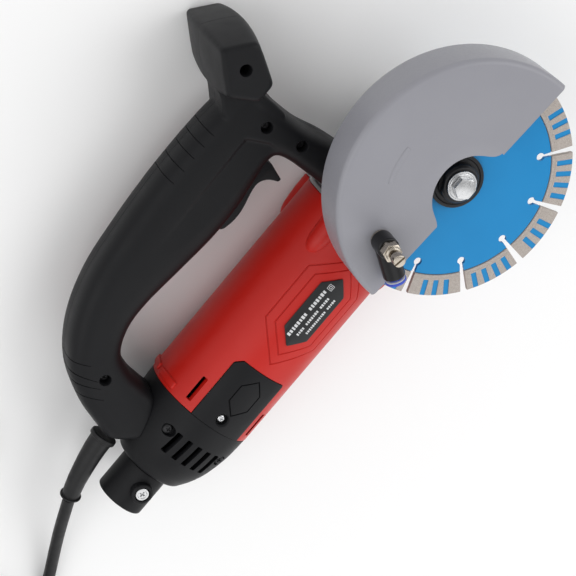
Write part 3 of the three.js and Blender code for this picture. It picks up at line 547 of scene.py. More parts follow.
def blade_paint():
    """Satin blue paint on the blade's core, with faint turning marks about the spindle."""
    look = Look("blade_paint", Coat_Weight=0.05, Coat_Roughness=0.25, Specular_IOR_Level=0.22)
    look.colour(look.noise(30, 3), (0.006, 0.20, 0.47), (0.010, 0.235, 0.53))
    radius = look.tree.nodes.new("ShaderNodeVectorMath")
    radius.operation = "LENGTH"
    look.tree.links.new(look.stretched((1, 1, 0)), radius.inputs[0])
    rings = look.noise(1, 3, 0.7, where=look.math("MULTIPLY", radius.outputs["Value"], 2600.0))
    look.rough(look.ramp(rings, 0.3, 0.7, 0.33, 0.43))
    look.relief((rings, 0.000008), (look.noise(1500, 2), 0.000012), edge=0.0002)
    return look.material


def segment_metal():
    """The blade's sintered rim: fine pale bronze-grey metal with diamond grit in it."""
    look = Look("blade_segment", Metallic=0.35)
    grit = look.cells(1500)
    grain = look.noise(1400, 5, 0.7)
    speckle = look.ramp(grit, 0.05, 0.25, 1.0, 0.0)
    base = look.mixed(look.ramp(grain, 0.32, 0.68), (0.30, 0.262, 0.235, 1), (0.50, 0.455, 0.42, 1))
    look.tree.links.new(look.mixed(look.math("MULTIPLY", speckle, 0.45), base, (0.62, 0.6, 0.55, 1)),
                        look.shader.inputs["Base Color"])
    look.rough(look.ramp(grain, 0.3, 0.7, 0.5, 0.72))
    look.relief((grain, 0.00012), (speckle, 0.00005), edge=0.0002)
    return look.material


def cord_rubber():
    """The cord's jacket: dull black rubber, lightly polished along its length by handling."""
    look = Look("cord_rubber", Specular_IOR_Level=0.3)
    look.colour(look.noise(70, 3), (0.006, 0.006, 0.0066), (0.011, 0.011, 0.012))
    look.rough(look.ramp(look.noise(220, 4), 0.3, 0.7, 0.38, 0.56))
    look.relief((look.noise(3200, 2), 0.00003), (look.noise(300, 2), 0.00006), edge=0.0004)
    return look.material


RED = moulded_plastic("red_plastic", (0.44, 0.0095, 0.0052), (0.50, 0.012, 0.0066), 0.40,
                      Specular_IOR_Level=0.3)
BLACK = moulded_plastic("black_plastic", (0.0058, 0.0060, 0.0070), (0.0078, 0.0080, 0.0092), 0.47, 0.00005,
                        Specular_IOR_Level=0.17)
SMOOTH_BLACK = moulded_plastic("smooth_black_plastic", (0.005, 0.005, 0.006), (0.008, 0.008, 0.009), 0.3,
                               0.00001, Specular_IOR_Level=0.28)
FILM = moulded_plastic("nameplate_film", (0.010, 0.011, 0.012), (0.013, 0.0145, 0.0155), 0.42, 0.000008,
                       0.0001, Specular_IOR_Level=0.3)
BLUE_PLASTIC = moulded_plastic("blue_plastic", (0.02, 0.05, 0.42), (0.035, 0.075, 0.52), 0.3, 0.00001)
WHITE_PLASTIC = moulded_plastic("white_plastic", (0.62, 0.63, 0.66), (0.7, 0.71, 0.74), 0.35, 0.00001)
ZINC = brushed_metal("zinc_steel", (0.50, 0.505, 0.515), (0.60, 0.605, 0.61), 0.25, (900, 900, 900), 0.000003)
STEEL = brushed_metal("machined_steel", (0.42, 0.425, 0.44), (0.56, 0.565, 0.575), 0.3)
NICKEL = brushed_metal("nickel_brass", (0.42, 0.37, 0.31), (0.52, 0.47, 0.40), 0.22, (900, 900, 900),
                       0.000003)
COPPER = brushed_metal("copper", (0.50, 0.19, 0.08), (0.62, 0.27, 0.12), 0.34, (900, 60, 60), 0.0001)
LAMINATED = brushed_metal("laminated_steel", (0.14, 0.145, 0.155), (0.24, 0.245, 0.255), 0.42,
                          (1900, 20, 20), 0.00008)
BLACKENED = brushed_metal("blackened_steel", (0.012, 0.012, 0.013), (0.022, 0.022, 0.024), 0.34,
                          Metallic=0.2, Specular_IOR_Level=0.3)
ALUMINIUM = cast_metal("cast_aluminium", (0.40, 0.405, 0.41), (0.56, 0.565, 0.57))
CARBON = moulded_plastic("carbon", (0.012, 0.012, 0.012), (0.03, 0.03, 0.03), 0.62, 0.0001)
GREY_PAINT, BLUE_PAINT, SEGMENT, RUBBER = guard_paint(), blade_paint(), segment_metal(), cord_rubber()

SLOT_LOOKS = {
    "red_plastic": RED, "black_plastic": BLACK, "nameplate_film": FILM, "zinc_steel": ZINC,
    "machined_steel": STEEL, "blackened_steel": BLACKENED, "laminated_steel": LAMINATED, "copper": COPPER,
    "carbon": CARBON, "nickel_brass": NICKEL, "cast_aluminium": ALUMINIUM, "grey_paint": GREY_PAINT,
    "blade_paint": BLUE_PAINT, "blue_plastic": BLUE_PLASTIC, "cord_rubber": RUBBER,
}
# The pieces inside the body, which stay as the frame has them.
INSIDE = {
    "laminated_steel": ("stator_core", "armature_core"),
    "copper": ("field_coil_right", "field_coil_left", "commutator"),
    "nickel_brass": ("brush_holder_right", "brush_holder_left"),
    "carbon": ("carbon_brush_right", "carbon_brush_left"),
    "machined_steel": ("brush_spring_right", "brush_spring_left", "rear_bearing", "pinion_bearing",
                       "spindle_bearing", "top_bearing", "spindle", "crown_gear", "inner_flange",
                       "armature_shaft", "pinion_gear", "trigger_pin"),
    "black_plastic": ("fan", "switch_body"),
}
for slot, names in INSIDE.items():
    for node_name in names:
        node = NODES[node_name]
        node.data.materials.clear()
        node.data.materials.append(SLOT_LOOKS[slot])
        node.data.shade_smooth()
        node.data.set_sharp_from_angle(angle=math.radians(35))


# ------------------------------------------------------------------ strain relief, cord, coil and plug
RELIEF_ROUTE = [(-278, 39.6, 40), (-290, 38.6, 39.8), (-304, 35.6, 38.8), (-318, 31.6, 37.2),
                (-330.4, 26.2, 34.6)]
CORD_ROUTE = [(-331.3, 25.8, 34.35), (-343.5, 18.6, 30), (-359, 8.8, 23), (-377, -3.4, 14.8), (-398, -17, 8),
              (-414, -25.8, 5.2), (-432, -34.3, 4.4), (-451, -43.1, 4.4), (-470, -52, 4.4)]
TAIL_ROUTE = [(-520.2, 55.8, 21.4), (-506, 62.6, 21.3), (-492, 69.6, 20.4), (-478, 76.8, 18.2),
              (-464, 84, 15.2), (-450, 90.6, 12.4), (-436, 96, 10.5), (-422, 99.8, 9.7), (-408, 101.6, 9.6),
              (-393, 102, 9.6)]


def coil_route(steps=48):
    """The coil's centreline: three turns in on the floor, three out on top, and half a turn more."""
    pitch = 2 * CORD_R
    outside = COIL_MIDDLE + pitch
    turns = [(outside - i * pitch, CORD_R + 0.15) for i in range(3)]
    turns += [(outside - i * pitch, 3 * CORD_R + 0.15) for i in (2, 1, 0)]
    turns.append((outside, 5 * CORD_R + 0.15))
    points = []
    for i, (radius, height) in enumerate(turns):
        share = 0.5 if i == len(turns) - 1 else 1.0
        after = turns[min(i + 1, len(turns) - 1)]
        count = int(steps * share)
        for k in range(count):
            turn = k / steps
            step = 0.0 if share < 1 else max(0.0, (turn - (1 - COIL_CHANGE)) / COIL_CHANGE)
            step = step * step * (3 - 2 * step)
            angle = math.radians(COIL_ENTRY) - 2 * math.pi * turn
            here = radius + (after[0] - radius) * step
            points.append((COIL_CENTRE[0] + here * math.cos(angle), COIL_CENTRE[1] + here * math.sin(angle),
                           height + (after[1] - height) * step))
    return points


def make_cord():
    """The cord as one line of constant thickness, from the relief through the coil to the plug."""
    points = spline(CORD_ROUTE, 6)[:-1]
    points += [Vector(p) for p in coil_route()]
    points += spline(TAIL_ROUTE, 6)
    curve = bpy.data.curves.new("cord", "CURVE")
    curve.dimensions = "3D"
    curve.bevel_depth = CORD_R * MM
    curve.bevel_resolution = 5
    curve.use_fill_caps = True
    line = curve.splines.new("POLY")
    line.points.add(len(points) - 1)
    for spot, point in zip(line.points, points):
        spot.co = (*(point * MM), 1)
    line.use_smooth = True
    cord = bpy.data.objects.new("cord_line", curve)
    bpy.context.scene.collection.objects.link(cord)
    curve.materials.append(RUBBER)
    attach(cord, "root")
    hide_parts("cord", "cord_coil", "cord_tail")
    return cord


def make_relief():
    """The tapered sleeve at the handle's rear leg: a thin flange, a long taper, and a thin end ring."""
    rings = [(0, 0), (8.8, 0), (9.3, 0.008), (9.4, 0.02), (9.4, 0.05), (9.2, 0.06), (8.6, 0.064),
             (8.1, 0.07), (7.9, 0.09), (7.7, 0.2), (7.3, 0.36), (6.9, 0.52), (6.5, 0.7), (6.2, 0.86),
             (6.05, 0.93), (6.05, 0.944), (7.2, 0.947), (7.3, 0.951), (7.3, 0.962), (7.2, 0.966),
             (5.7, 0.969), (5.6, 0.995), (5.2, 1.0), (0, 1.0)]
    body = swept(spline(RELIEF_ROUTE, 8), rings, 48)
    return place(body, "cord_relief", RUBBER, "cord_rubber", "root", "strain_relief", matrix=ROW)


def make_plug():
    """A moulded two-blade plug with finger grips on its sides and a ribbed neck."""
    x0, y0, z0 = TAIL_ROUTE[-1]
    neck = [(0, 0.3), (5.0, 0.3), (5.5, 0.9)]
    for i in range(4):
        start = 2.2 + i * 4.4
        wide = 5.9 + i * 0.75
        neck += [(wide - 1.1, start), (wide - 0.2, start + 0.5), (wide, start + 1.3), (wide, start + 2.6),
                 (wide - 0.2, start + 3.1), (wide - 1.1, start + 3.6)]
    neck += [(8.6, 19.6), (8.9, 23.5), (0, 23.5)]
    sleeve = lathe("x", [(r, x0 + x) for r, x in neck], (y0, z0), 40)
    half = 13.0
    side = [(22, 9.2), (26, 12.2), (31, half), (35, half - 1.2), (40, half - 1.9), (45, half - 1.1),
            (49, half), (50.3, half - 0.2)]
    line = [tuple(p) for p in spline(side, 6)]
    outline = [(x0 + x, y0 + y) for x, y in line] + [(x0 + x, y0 - y) for x, y in reversed(line)]
    shell = prism(outline, 0.25, 19.0, axis="z")
    bevelled(shell, 2.2, 4, 50)
    for i in range(4):
        x = x0 + 34.0 + i * 3.4
        for y in (y0 - half, y0 + half):
            shell = cut(shell, rod("z", 0.75, -2, 22, (x, y + (1.35 if y < y0 else -1.35)), 16))
    body = join(shell, sleeve)
    place(body, "plug_body", RUBBER, "cord_rubber", "root", "plug", matrix=ROW)
    blades = []
    for i, offset in enumerate((-6.35, 6.35)):
        blade = box((x0 + 47.3, x0 + 67.3), (y0 + offset - 0.8, y0 + offset + 0.8), (z0 - 3.2, z0 + 3.2))
        hole = rod("y", 1.5, y0 + offset - 2, y0 + offset + 2, (x0 + 63.3, z0), 24)
        blade = bevelled(cut(blade, hole), 0.35, 2, 50)
        blades.append(place(blade, f"plug_blade_{i + 1}", NICKEL, "nickel_brass", "root", matrix=ROW))
    return [body, *blades]


make_relief()
cord = make_cord()
plug = make_plug()


# ------------------------------------------------------------------ motor housing
def hexagon(rear, front, top, bottom):
    """A long hexagon with a 45 degree point at each end, in (x, length round the body)."""
    slope = (top - bottom) / 2
    return [(rear, bottom + slope), (rear + slope, top), (front - slope, top), (front, bottom + slope),
            (front - slope, bottom), (rear + slope, bottom)]


def groove_loop(outline, width, depth):
    """A cutter for a groove that follows a closed outline, to be bent round the body."""
    centre = Vector(outline[0]).lerp(Vector(outline[3]), 0.5)
    count = len(outline)
    normals = []
    for i, point in enumerate(outline):
        before = (Vector(point) - Vector(outline[i - 1])).normalized()
        after = (Vector(outline[(i + 1) % count]) - Vector(point)).normalized()
        out_before, out_after = Vector((-before.y, before.x)), Vector((-after.y, after.x))
        normal = (out_before + out_after).normalized()
        normal /= max(0.2, normal.dot(out_after))
        if normal.dot(Vector(point) - centre) < 0:
            normal = -normal
        normals.append(normal)
    offsets = ((-width / 2, 1.5), (width / 2, 1.5), (width / 2, 0.0), (width * 0.2, -depth),
               (-width * 0.2, -depth), (-width / 2, 0.0))
    verts = [(*(Vector(p) + n * off), height) for p, n in zip(outline, normals) for off, height in offsets]
    verts = [(x, height, z) for x, z, height in verts]
    lanes = len(offsets)
    faces = [[i * lanes + j, i * lanes + (j + 1) % lanes, ((i + 1) % count) * lanes + (j + 1) % lanes,
              ((i + 1) % count) * lanes + j] for i in range(count) for j in range(lanes)]
    return wrapped(diced(from_faces(verts, faces), None, 1.0))


def flat_plate(outline, radii, low, high, edge, segments=3):
    """A plate in the flat space that wrapped() bends: an outline with rounded corners and rounded rims."""
    return prism(fillet(outline, radii, 5), low, high, edge, segments)


COVER_ARC = round_body(COVER["half"])


def cover_outline(rear, grow):
    front, tall, chamfer = COVER["front"] + grow, COVER_ARC + grow, 4.6
    return [(rear, -tall), (front, -tall), (front, tall - chamfer), (front - chamfer, tall), (rear, tall)]


def make_housing():
    """The red motor housing: a tube with four boss ears in front, openings for both covers, and engraved lines."""
    inner = BODY_R - 3
    skin = fillet([(inner, HOUSING_REAR), (BODY_R, HOUSING_REAR), (BODY_R, HOUSING_FRONT),
                   (inner, HOUSING_FRONT)], [0, 0.5, 0.5, 0], 3)
    shell = lathe("x", divided(skin, 5), steps=144, closed=True)
    for y in (-BOSS, BOSS):
        for z in (-BOSS, BOSS):
            profile = [(0, -95.5), (2.6, -95.0), (4.6, -93.2), (6.0, -90.2), (7.0, -86), (7.6, -80),
                       (7.9, -73), (8.0, HOUSING_FRONT - 0.8), (7.4, HOUSING_FRONT), (0, HOUSING_FRONT)]
            boss = lathe("x", divided(profile, 5), (y, z), 64)
            shell = join(shell, cut(boss, rod("x", inner + 0.6, -110, -50, steps=96)))
    # A raised lip near the rear rim, above the cover's slot, on both sides of the body.
    lip = prism([(-221.8, 41.0), (-216.6, 41.0), (-216.6, 60.5), (-221.8, 60.5)], -1.2, 1.5, 1.1, 4)
    lip = wrapped(diced(lip, None, 1.2))
    shell = join(shell, mirrored(lip), lip)
    for side in (1, -1):
        opening = flat_plate(cover_outline(HOUSING_REAR - 2, 0.35), [0, 2.4, 2.4, 2.4, 0], -9, 6, 0)
        opening = wrapped(diced(opening, None, 1.5))
        if side < 0:
            moved(opening, MIRROR)
        shell = cut(shell, opening)
        for z in (-26, 26):
            slot = prism(fillet([(-219, z - 1.5), (-200.5, z - 1.5), (-200.5, z + 1.5), (-219, z + 1.5)],
                                [0.7] * 4, 3), 20 if side < 0 else -60, 60 if side < 0 else -20)
            shell = cut(shell, slot)
        for grow in (6.2, 12.8):
            lines = hexagon(PLATE["rear"] - grow * 1.25, PLATE["front"] + grow * 1.25,
                            PLATE["top"] + grow + 0.2, PLATE["bottom"] - grow)
            groove = groove_loop(lines, 1.0, 0.55)
            if side < 0:
                moved(groove, MIRROR)
            shell = cut(shell, groove)
    return place(shell, "motor_housing_shell", RED, "red_plastic", "root", "motor_housing")


def make_cover(side):
    """A black brush cover bent to the housing, with an engraved hexagon and the well of its screw."""
    plate = flat_plate(cover_outline(HOUSING_REAR, 0), [0.3, 2.0, 2.0, 2.0, 0.3], -3.0, 0.45, 0.4)
    plate = wrapped(diced(plate, None, 1.2))
    plate = cut(plate, groove_loop(hexagon(-210.5, -181.5, 7.5, -8.8), 0.9, 0.5))
    x, z = COVER["screw"]
    plate = join(plate, rod("y", 5.8, -BODY_R + 1, -33.6, (x, z), 48))
    well = lathe("y", fillet([(0, -BODY_R - 3), (4.9, -BODY_R - 3), (4.9, -BODY_R - 0.3),
                              (4.0, -BODY_R + 0.7), (4.0, -36.0), (0, -36.0)], [0, 0, 0, 0.4, 0, 0], 3),
                 (x, z), 48)
    plate = cut(plate, well, rod("y", 1.9, -BODY_R, -BODY_R + 8, (x, z), 24))
    if side > 0:
        moved(plate, MIRROR)
    hand = "left" if side > 0 else "right"
    return place(plate, f"brush_cover_plate_{hand}", BLACK, "black_plastic", "root", f"brush_cover_{hand}")


def cross_recess(size, depth, top, centre):
    """A cutter for a cross recess in a screw head that faces -y, its tip tapered."""
    x, z = centre
    arms = []
    for wide, tall in ((size, size * 0.26), (size * 0.26, size)):
        arm = box((x - wide, x + wide), (top - 1, top + depth), (z - tall, z + tall))
        for vert in arm.data.vertices:
            if vert.co.y > top:
                vert.co.x = x + (vert.co.x - x) * 0.62
                vert.co.z = z + (vert.co.z - z) * 0.62
        arms.append(arm)
    return join(*arms)


def screw(head, shank, top, seat, tip, centre):
    """A pan-head screw along y with its head at the low-y end."""
    profile = [(0, top), (head * 0.62, top + 0.05), (head * 0.86, top + (seat - top) * 0.22),
               (head, top + (seat - top) * 0.55), (head, seat), (shank, seat), (shank, tip - 0.8),
               (shank * 0.5, tip), (0, tip)]
    body = lathe("y", fillet(profile, [0, 0.5, 0.5, 0.4, 0.2, 0, 0.2, 0, 0], 3), centre, 40)
    return cut(body, cross_recess(head * 0.58, (seat - top) * 0.55, top, centre))


def bar(x, z, half, tall, low=0.93, high=1.0):
    return prism([(x - half, z - tall), (x + half, z - tall), (x + half, z + tall), (x - half, z + tall)],
                 low, high)


def make_nameplate():
    """A thin printed plate: rows of plain bars where the text goes, and the double-square symbol."""
    rear, front, top, bottom = PLATE["rear"], PLATE["front"], PLATE["top"] + 0.2, PLATE["bottom"]
    plate = flat_plate(hexagon(rear, front, top, bottom), [1.0] * 6, 0.25, 0.95, 0.25, 2)
    plate = wrapped(diced(plate, 8, 1.0))
    place(plate, "nameplate_film", FILM, "nameplate_film", "root", "nameplate")
    marks = []
    # Each row: its height, half the height of a bar, the pitch, where it starts, and the bars in each word.
    for height, tall, pitch, start, words in ((5.9, 1.25, 2.35, 7.5, (8, 7)),
                                              (0.9, 0.9, 1.75, 10.5, (4, 7, 5)),
                                              (-3.6, 0.85, 1.6, 14.5, (12, 5))):
        x = rear + start
        for word in words:
            for k in range(word):
                # The bars of a word differ a little in width and height, as letters do.
                half = pitch * (0.28 + 0.05 * ((k * 5 + word) % 3))
                marks.append(bar(x, height, half, tall * (1.0 - 0.12 * ((k * 3 + word) % 2))))
                x += pitch
            x += pitch * 1.1
    for half in (1.9, 0.95):
        centre = (front - 9.0, 4.6)
        marks.append(cut(bar(*centre, half, half), bar(*centre, half - 0.32, half - 0.32, 0.5, 1.5)))
    whole = marks[0]
    work = bmesh.new()
    for mark in marks:
        work.from_mesh(mark.data)
    work.to_mesh(whole.data)
    work.free()
    for mark in marks[1:]:
        remove(mark)
    wrapped(diced(whole, None, 1.0))
    return place(whole, "nameplate_print", PRINT, "nameplate_film", "root")


CAP_LINE = [(39.3, HOUSING_REAR - 0.3), (38.95, -233), (38.3, -241), (36.8, -250), (34.3, -260),
            (30.8, -268.5), (27.0, -275), (24.4, -278.6), (21, CAP_REAR)]


def make_rear_cap():
    """The black rear cap: a domed shell with a rib inside, vent slots, and posts and wells for its screws."""
    outside = [tuple(p) for p in spline(CAP_LINE, 5)]
    inside = [(0, -276.6), (20, -276.2), (29.0, -264), (34.0, -247), (36.0, -232), (36.2, HOUSING_REAR - 0.3)]
    profile = [(0, CAP_REAR), *reversed(outside), *reversed(inside)]
    cap = lathe("x", divided(profile, 4), steps=144)
    cap = join(cap, cut(ring("x", 7, 36.1, -236.5, -233.5, steps=96),
                        *[rod("x", 7, -240, -230, (22 * math.cos(a), 22 * math.sin(a)), 32)
                          for a in (0, math.pi / 2, math.pi, 1.5 * math.pi)]),
               ring("x", 11.3, 14, -235, -226, steps=48))
    for side in (-1, 1):
        near, far = (-60, -22) if side < 0 else (22, 60)
        for i in range(5):
            z = (i - 2) * 8
            outline = fillet([(-257.2, z - 2), (-239.8, z - 2), (-239.8, z + 2), (-257.2, z + 2)],
                             [0.8] * 4, 3)
            cap = cut(cap, prism(outline, near, far))
        for z in (-CAP_SCREW[1], CAP_SCREW[1]):
            seat = -27.3 if side < 0 else 27.3
            post = cut(rod("y", 6.0, min(seat, side * 22), max(seat, side * 22), (CAP_SCREW[0], z), 40),
                       rod("y", 2.2, -60, 60, (CAP_SCREW[0], z), 20))
            post = common(post, rod("x", 37.2, -250, -236, steps=96))
            well = rod("y", 4.2, min(seat, side * 60), max(seat, side * 60), (CAP_SCREW[0], z), 40)
            cap = cut(cap, well)
            cap = join(cap, post)
    return place(cap, "rear_cap_shell", BLACK, "black_plastic", "root", "rear_cap")


def make_socket():
    """The socket behind the cap that takes a pole, with a flat pad and the hole of its clamp screw."""
    front, rear, x = -281.3, SOCKET_REAR, SOCKET_SCREW_X
    outside = fillet([(0, front), (SOCKET_R, front), (SOCKET_R, rear), (SOCKET_BORE, rear),
                      (SOCKET_BORE, front - 3.5), (0, front - 3.5)], [0, 0.5, 1.4, 0.9, 0.4, 0], 6)
    tube = lathe("x", divided(outside, 3), steps=96)
    pad = lathe("y", fillet([(0, -21.6), (7.5, -21.6), (7.5, -12), (0, -12)], [0, 1.3, 0, 0], 5), (x, 0), 64)
    pad = cut(pad, rod("x", SOCKET_BORE + 0.4, rear - 1, front + 1, steps=96))
    tube = cut(join(tube, pad), rod("y", 5.25, -23, -18, (x, 0), 64), rod("y", 2.8, -20, -10, (x, 0), 40))
    return place(tube, "pole_socket_tube", BLACK, "black_plastic", "root", "pole_socket")


PRINT = moulded_plastic("nameplate_print", (0.55, 0.56, 0.57), (0.66, 0.67, 0.68), 0.45, 0.000005, 0.0001)
make_housing()
make_cover(-1)
make_cover(1)
make_nameplate()
make_rear_cap()
make_socket()
clamp = lathe("y", fillet([(0, -20.6), (2.9, -20.7), (3.3, -21.2), (4.6, -21.2), (4.6, -18.3), (2.4, -18.3),
                           (2.4, -14.8), (0, -14.8)], [0, 0.2, 0.2, 0.5, 0.2, 0, 0.4, 0], 4),
              (SOCKET_SCREW_X, 0), 64)
place(cut(clamp, cross_recess(2.5, 1.5, -20.8, (SOCKET_SCREW_X, 0))), "socket_screw", ZINC, "zinc_steel",
      "root", "socket_clamp_screw")
for hand in ("right", "left"):
    fastener = screw(2.8, 1.6, -37.9, -36.2, -30, COVER["screw"])
    if hand == "left":
        moved(fastener, MIRROR)
    place(fastener, f"cover_screw_{hand}", ZINC, "zinc_steel", "root", f"brush_cover_screw_{hand}")
for i, z in enumerate((CAP_SCREW[1], -CAP_SCREW[1]), 1):
    place(screw(3.4, 1.8, -29.6, -27.6, -19, (CAP_SCREW[0], z)), f"cap_screw_{i}", BLACKENED,
          "blackened_steel", "root", f"rear_cap_screw_{i}")


# ------------------------------------------------------------------ gear case, bearing cover, spindle parts
def make_gear_case():
    """The cast gear case: a stepped round head, the flange that meets the housing, and the hollows inside."""
    head = [(0, REST), (16.5, REST), (19.5, REST - 2.5), (19.5, 31), (26, 25), (32, 19), (CASE_R, 11),
            (CASE_R, -35), (33, -37), (0, -37)]
    head = lathe("y", fillet(head, [0, 1.2, 1.5, 2.5, 3, 4, 4, 1.2, 1.2, 0], 4), steps=128)
    flange = [(0, HOUSING_FRONT + 0.3), (BODY_R, HOUSING_FRONT + 0.3), (BODY_R, -60.4), (38.3, -59.5),
              (37, -56), (35, -44), (CASE_R - 1.5, 0), (0, 0)]
    flange = lathe("x", fillet(flange, [0, 0.3, 0.8, 0.8, 2, 4, 2, 0], 4), steps=128)
    pad = box((-59, -30.5), (-16, 16), (20, 38.5), 1.4)
    body = join(head, flange, pad)
    for y in (-BOSS, BOSS):
        for z in (-BOSS, BOSS):
            body = join(body, rod("x", 7.6, HOUSING_FRONT + 0.3, -57, (y, z), 48, 1.0))
    hollows = [("y", 30, -20.5, 14), ("y", 17.5, -38, -20), ("y", 13.3, 13, 33), ("x", 16.3, -70, -46.5),
               ("x", 12.5, -50, 0), ("x", 27, -70, -59.5)]
    body = cut(body, *[rod(axis, radius, low, high, steps=64) for axis, radius, low, high in hollows])
    return place(body, "gear_case_casting", ALUMINIUM, "cast_aluminium", "root", "gear_case")


def make_bearing_cover():
    """The cast cover under the guard, with the neck that the guard is clamped on."""
    profile = [(9.3, -37.3), (30, -37.3), (30, -40), (28.5, -41.5), (NECK_R, -41.5), (NECK_R, -54.3),
               (9.3, -54.3)]
    body = lathe("y", fillet(profile, [0, 0.3, 0.5, 0.5, 0.8, 0.5, 0.5], 3), steps=128, closed=True)
    return place(body, "bearing_cover_casting", ALUMINIUM, "cast_aluminium", "root", "bearing_cover")


def blade_slot(low, high):
    """The cutter for one radial slot of the blade and the round keyhole at its inner end."""
    reach = BLADE_R + 3
    slot = prism([(KEYHOLE["x"], -1.0), (reach, -2.6), (reach, 2.6), (KEYHOLE["x"], 1.0)], low, high)
    return join(rod("y", KEYHOLE["radius"], low, high, (KEYHOLE["x"], 0), 40), slot)


def make_blade():
    """The blue core and, as a piece of its own, the thicker segment ring with its row of blue pockets."""
    half, thick = BLADE_CORE / 2, 1.4
    # The core steps in just before the ring, so that a dark line runs between them.
    core = lathe("y", [(11.1, BLADE_Y - half), (BLADE_BAND - 0.45, BLADE_Y - half),
                       (BLADE_BAND - 0.4, BLADE_Y - 0.4), (BLADE_BAND, BLADE_Y - 0.4),
                       (BLADE_BAND, BLADE_Y + 0.4), (BLADE_BAND - 0.4, BLADE_Y + 0.4),
                       (BLADE_BAND - 0.45, BLADE_Y + half), (11.1, BLADE_Y + half)], steps=240, closed=True)
    ridge = BLADE_BAND + 2.2
    side = [(BLADE_BAND + 0.1, thick - 0.4), (BLADE_BAND + 0.4, thick), (ridge, thick),
            (ridge + 0.15, thick - 0.14), (ridge + 0.4, thick - 0.14), (ridge + 0.55, thick),
            (BLADE_R - 0.35, thick), (BLADE_R, thick - 0.35)]
    rim = lathe("y", [(r, BLADE_Y - y) for r, y in side] + [(r, BLADE_Y + y) for r, y in reversed(side)],
                steps=240, closed=True)
    for i in range(SLOTS):
        angle = -KEYHOLE["first"] - 360 / SLOTS * i
        core = cut(core, spun(blade_slot(BLADE_Y - 3, BLADE_Y + 3), angle))
        rim = cut(rim, spun(blade_slot(BLADE_Y - 3, BLADE_Y + 3), angle))
        # Long shallow pockets in each segment, four and three by turns.
        count = 3 + i % 2
        for k in range(count):
            lean = angle + 180 / SLOTS + (k - (count - 1) / 2) * POCKET["pitch"]
            for face in (BLADE_Y - thick, BLADE_Y + thick):
                inwards = 1 if face < BLADE_Y else -1
                outline = fillet([(POCKET["from"], -POCKET["half"]), (POCKET["to"], -POCKET["half"]),
                                  (POCKET["to"], POCKET["half"]), (POCKET["from"], POCKET["half"])],
                                 [0.5] * 4, 3)
                low, high = sorted((face - inwards, face + inwards * POCKET["deep"]))
                rim = cut(rim, spun(prism(outline, low, high), lean))
    # The pockets' floors are painted like the core.
    rim.data.materials.clear()
    rim.data.materials.append(SEGMENT)
    rim.data.materials.append(BLUE_PAINT)
    floor = thick - POCKET["deep"]
    for face in rim.data.polygons:
        centre = face.center
        if abs(abs(centre.y - BLADE_Y) - floor) < 0.05 and math.hypot(centre.x, centre.z) < POCKET["to"]:
            face.material_index = 1
    place(core, "blade_core", BLUE_PAINT, "blade_paint", "spindle", "blade")
    return place(rim, "blade_segments", None, None, "spindle")


def hexagon_bar(flat, low, high, centre=(0, 0), chamfer=0.3, turn=0.0):
    """A hexagon bar along y, size across flats, with its corners chamfered at the low end."""
    reach = flat / math.sqrt(3)
    cone = lathe("y", [(0, low), (flat / 2 - 0.1, low),
                       (reach + 0.3, low + (reach + 0.4 - flat / 2) * chamfer), (reach + 0.3, high),
                       (0, high)], centre, 64)
    return common(rod("y", reach, low, high, centre, 6, turn=turn), cone)


def make_flange_parts():
    """The outer flange with its boss, the dished washer, and the hexagon bolt."""
    face = BLADE_Y - BLADE_CORE / 2 - 0.3
    disc = lathe("y", fillet([(0, face), (17.9, face), (17.9, -64.3), (15.8, -64.3), (15.2, -63.7),
                              (0, -63.7)], [0, 0.3, 0.6, 0.3, 0.3, 0], 4), steps=96)
    boss = lathe("y", fillet([(0, -63), (13.2, -63), (12.8, -68.9), (11.2, -70.5), (0, -70.5)],
                             [0, 0, 0.8, 0.8, 0], 4), steps=96)
    # Two flats across the boss take the spanner.
    for low, high in ((11.3, 15), (-15, -11.3)):
        boss = cut(boss, spun(box((-14, 14), (-72, -66.4), (low, high)), 32))
    body = cut(join(disc, boss), rod("y", 8.3, -66.4, -60, steps=48), rod("y", 4.4, -71, -60, steps=48))
    place(body, "outer_flange_disc", BLACKENED, "blackened_steel", "spindle", "outer_flange")
    washer = lathe("y", [(4.4, -72.2), (7.9, -72.2), (8.2, -71.95), (8.5, -71.95), (8.8, -72.3),
                         (9.4, -72.3), (9.75, -72.0), (9.75, -71.1), (9.45, -70.8), (4.4, -70.8)], steps=96,
                   closed=True)
    place(washer, "bolt_washer", ZINC, "zinc_steel", "spindle", "flange_washer")
    head = hexagon_bar(12.6, -77.2, -72.5, chamfer=0.3, turn=math.radians(30))
    head = join(head, rod("y", 4, -73, -42, steps=40))
    return place(head, "bolt", ZINC, "zinc_steel", "spindle", "spindle_bolt")


# ------------------------------------------------------------------ guard
def arc(round_r, place, start, end, steps=8):
    angles = [math.radians(start + (end - start) * i / steps) for i in range(steps + 1)]
    return [(GUARD_R - round_r + round_r * math.cos(a), place + round_r * math.sin(a)) for a in angles]


NOTCH = bezier((-30.5, GUARD_EDGE), ((-25.5, 3.5), (-24.5, 9.5), (-20.5, 15)),
               ((-15, 21.5), (-7.5, 24.8), (0.5, 24.8)), ((9, 24.8), (16.5, 20.5), (21, 14)),
               ((25, 8), (26, 3), (31, GUARD_EDGE)), steps=12)


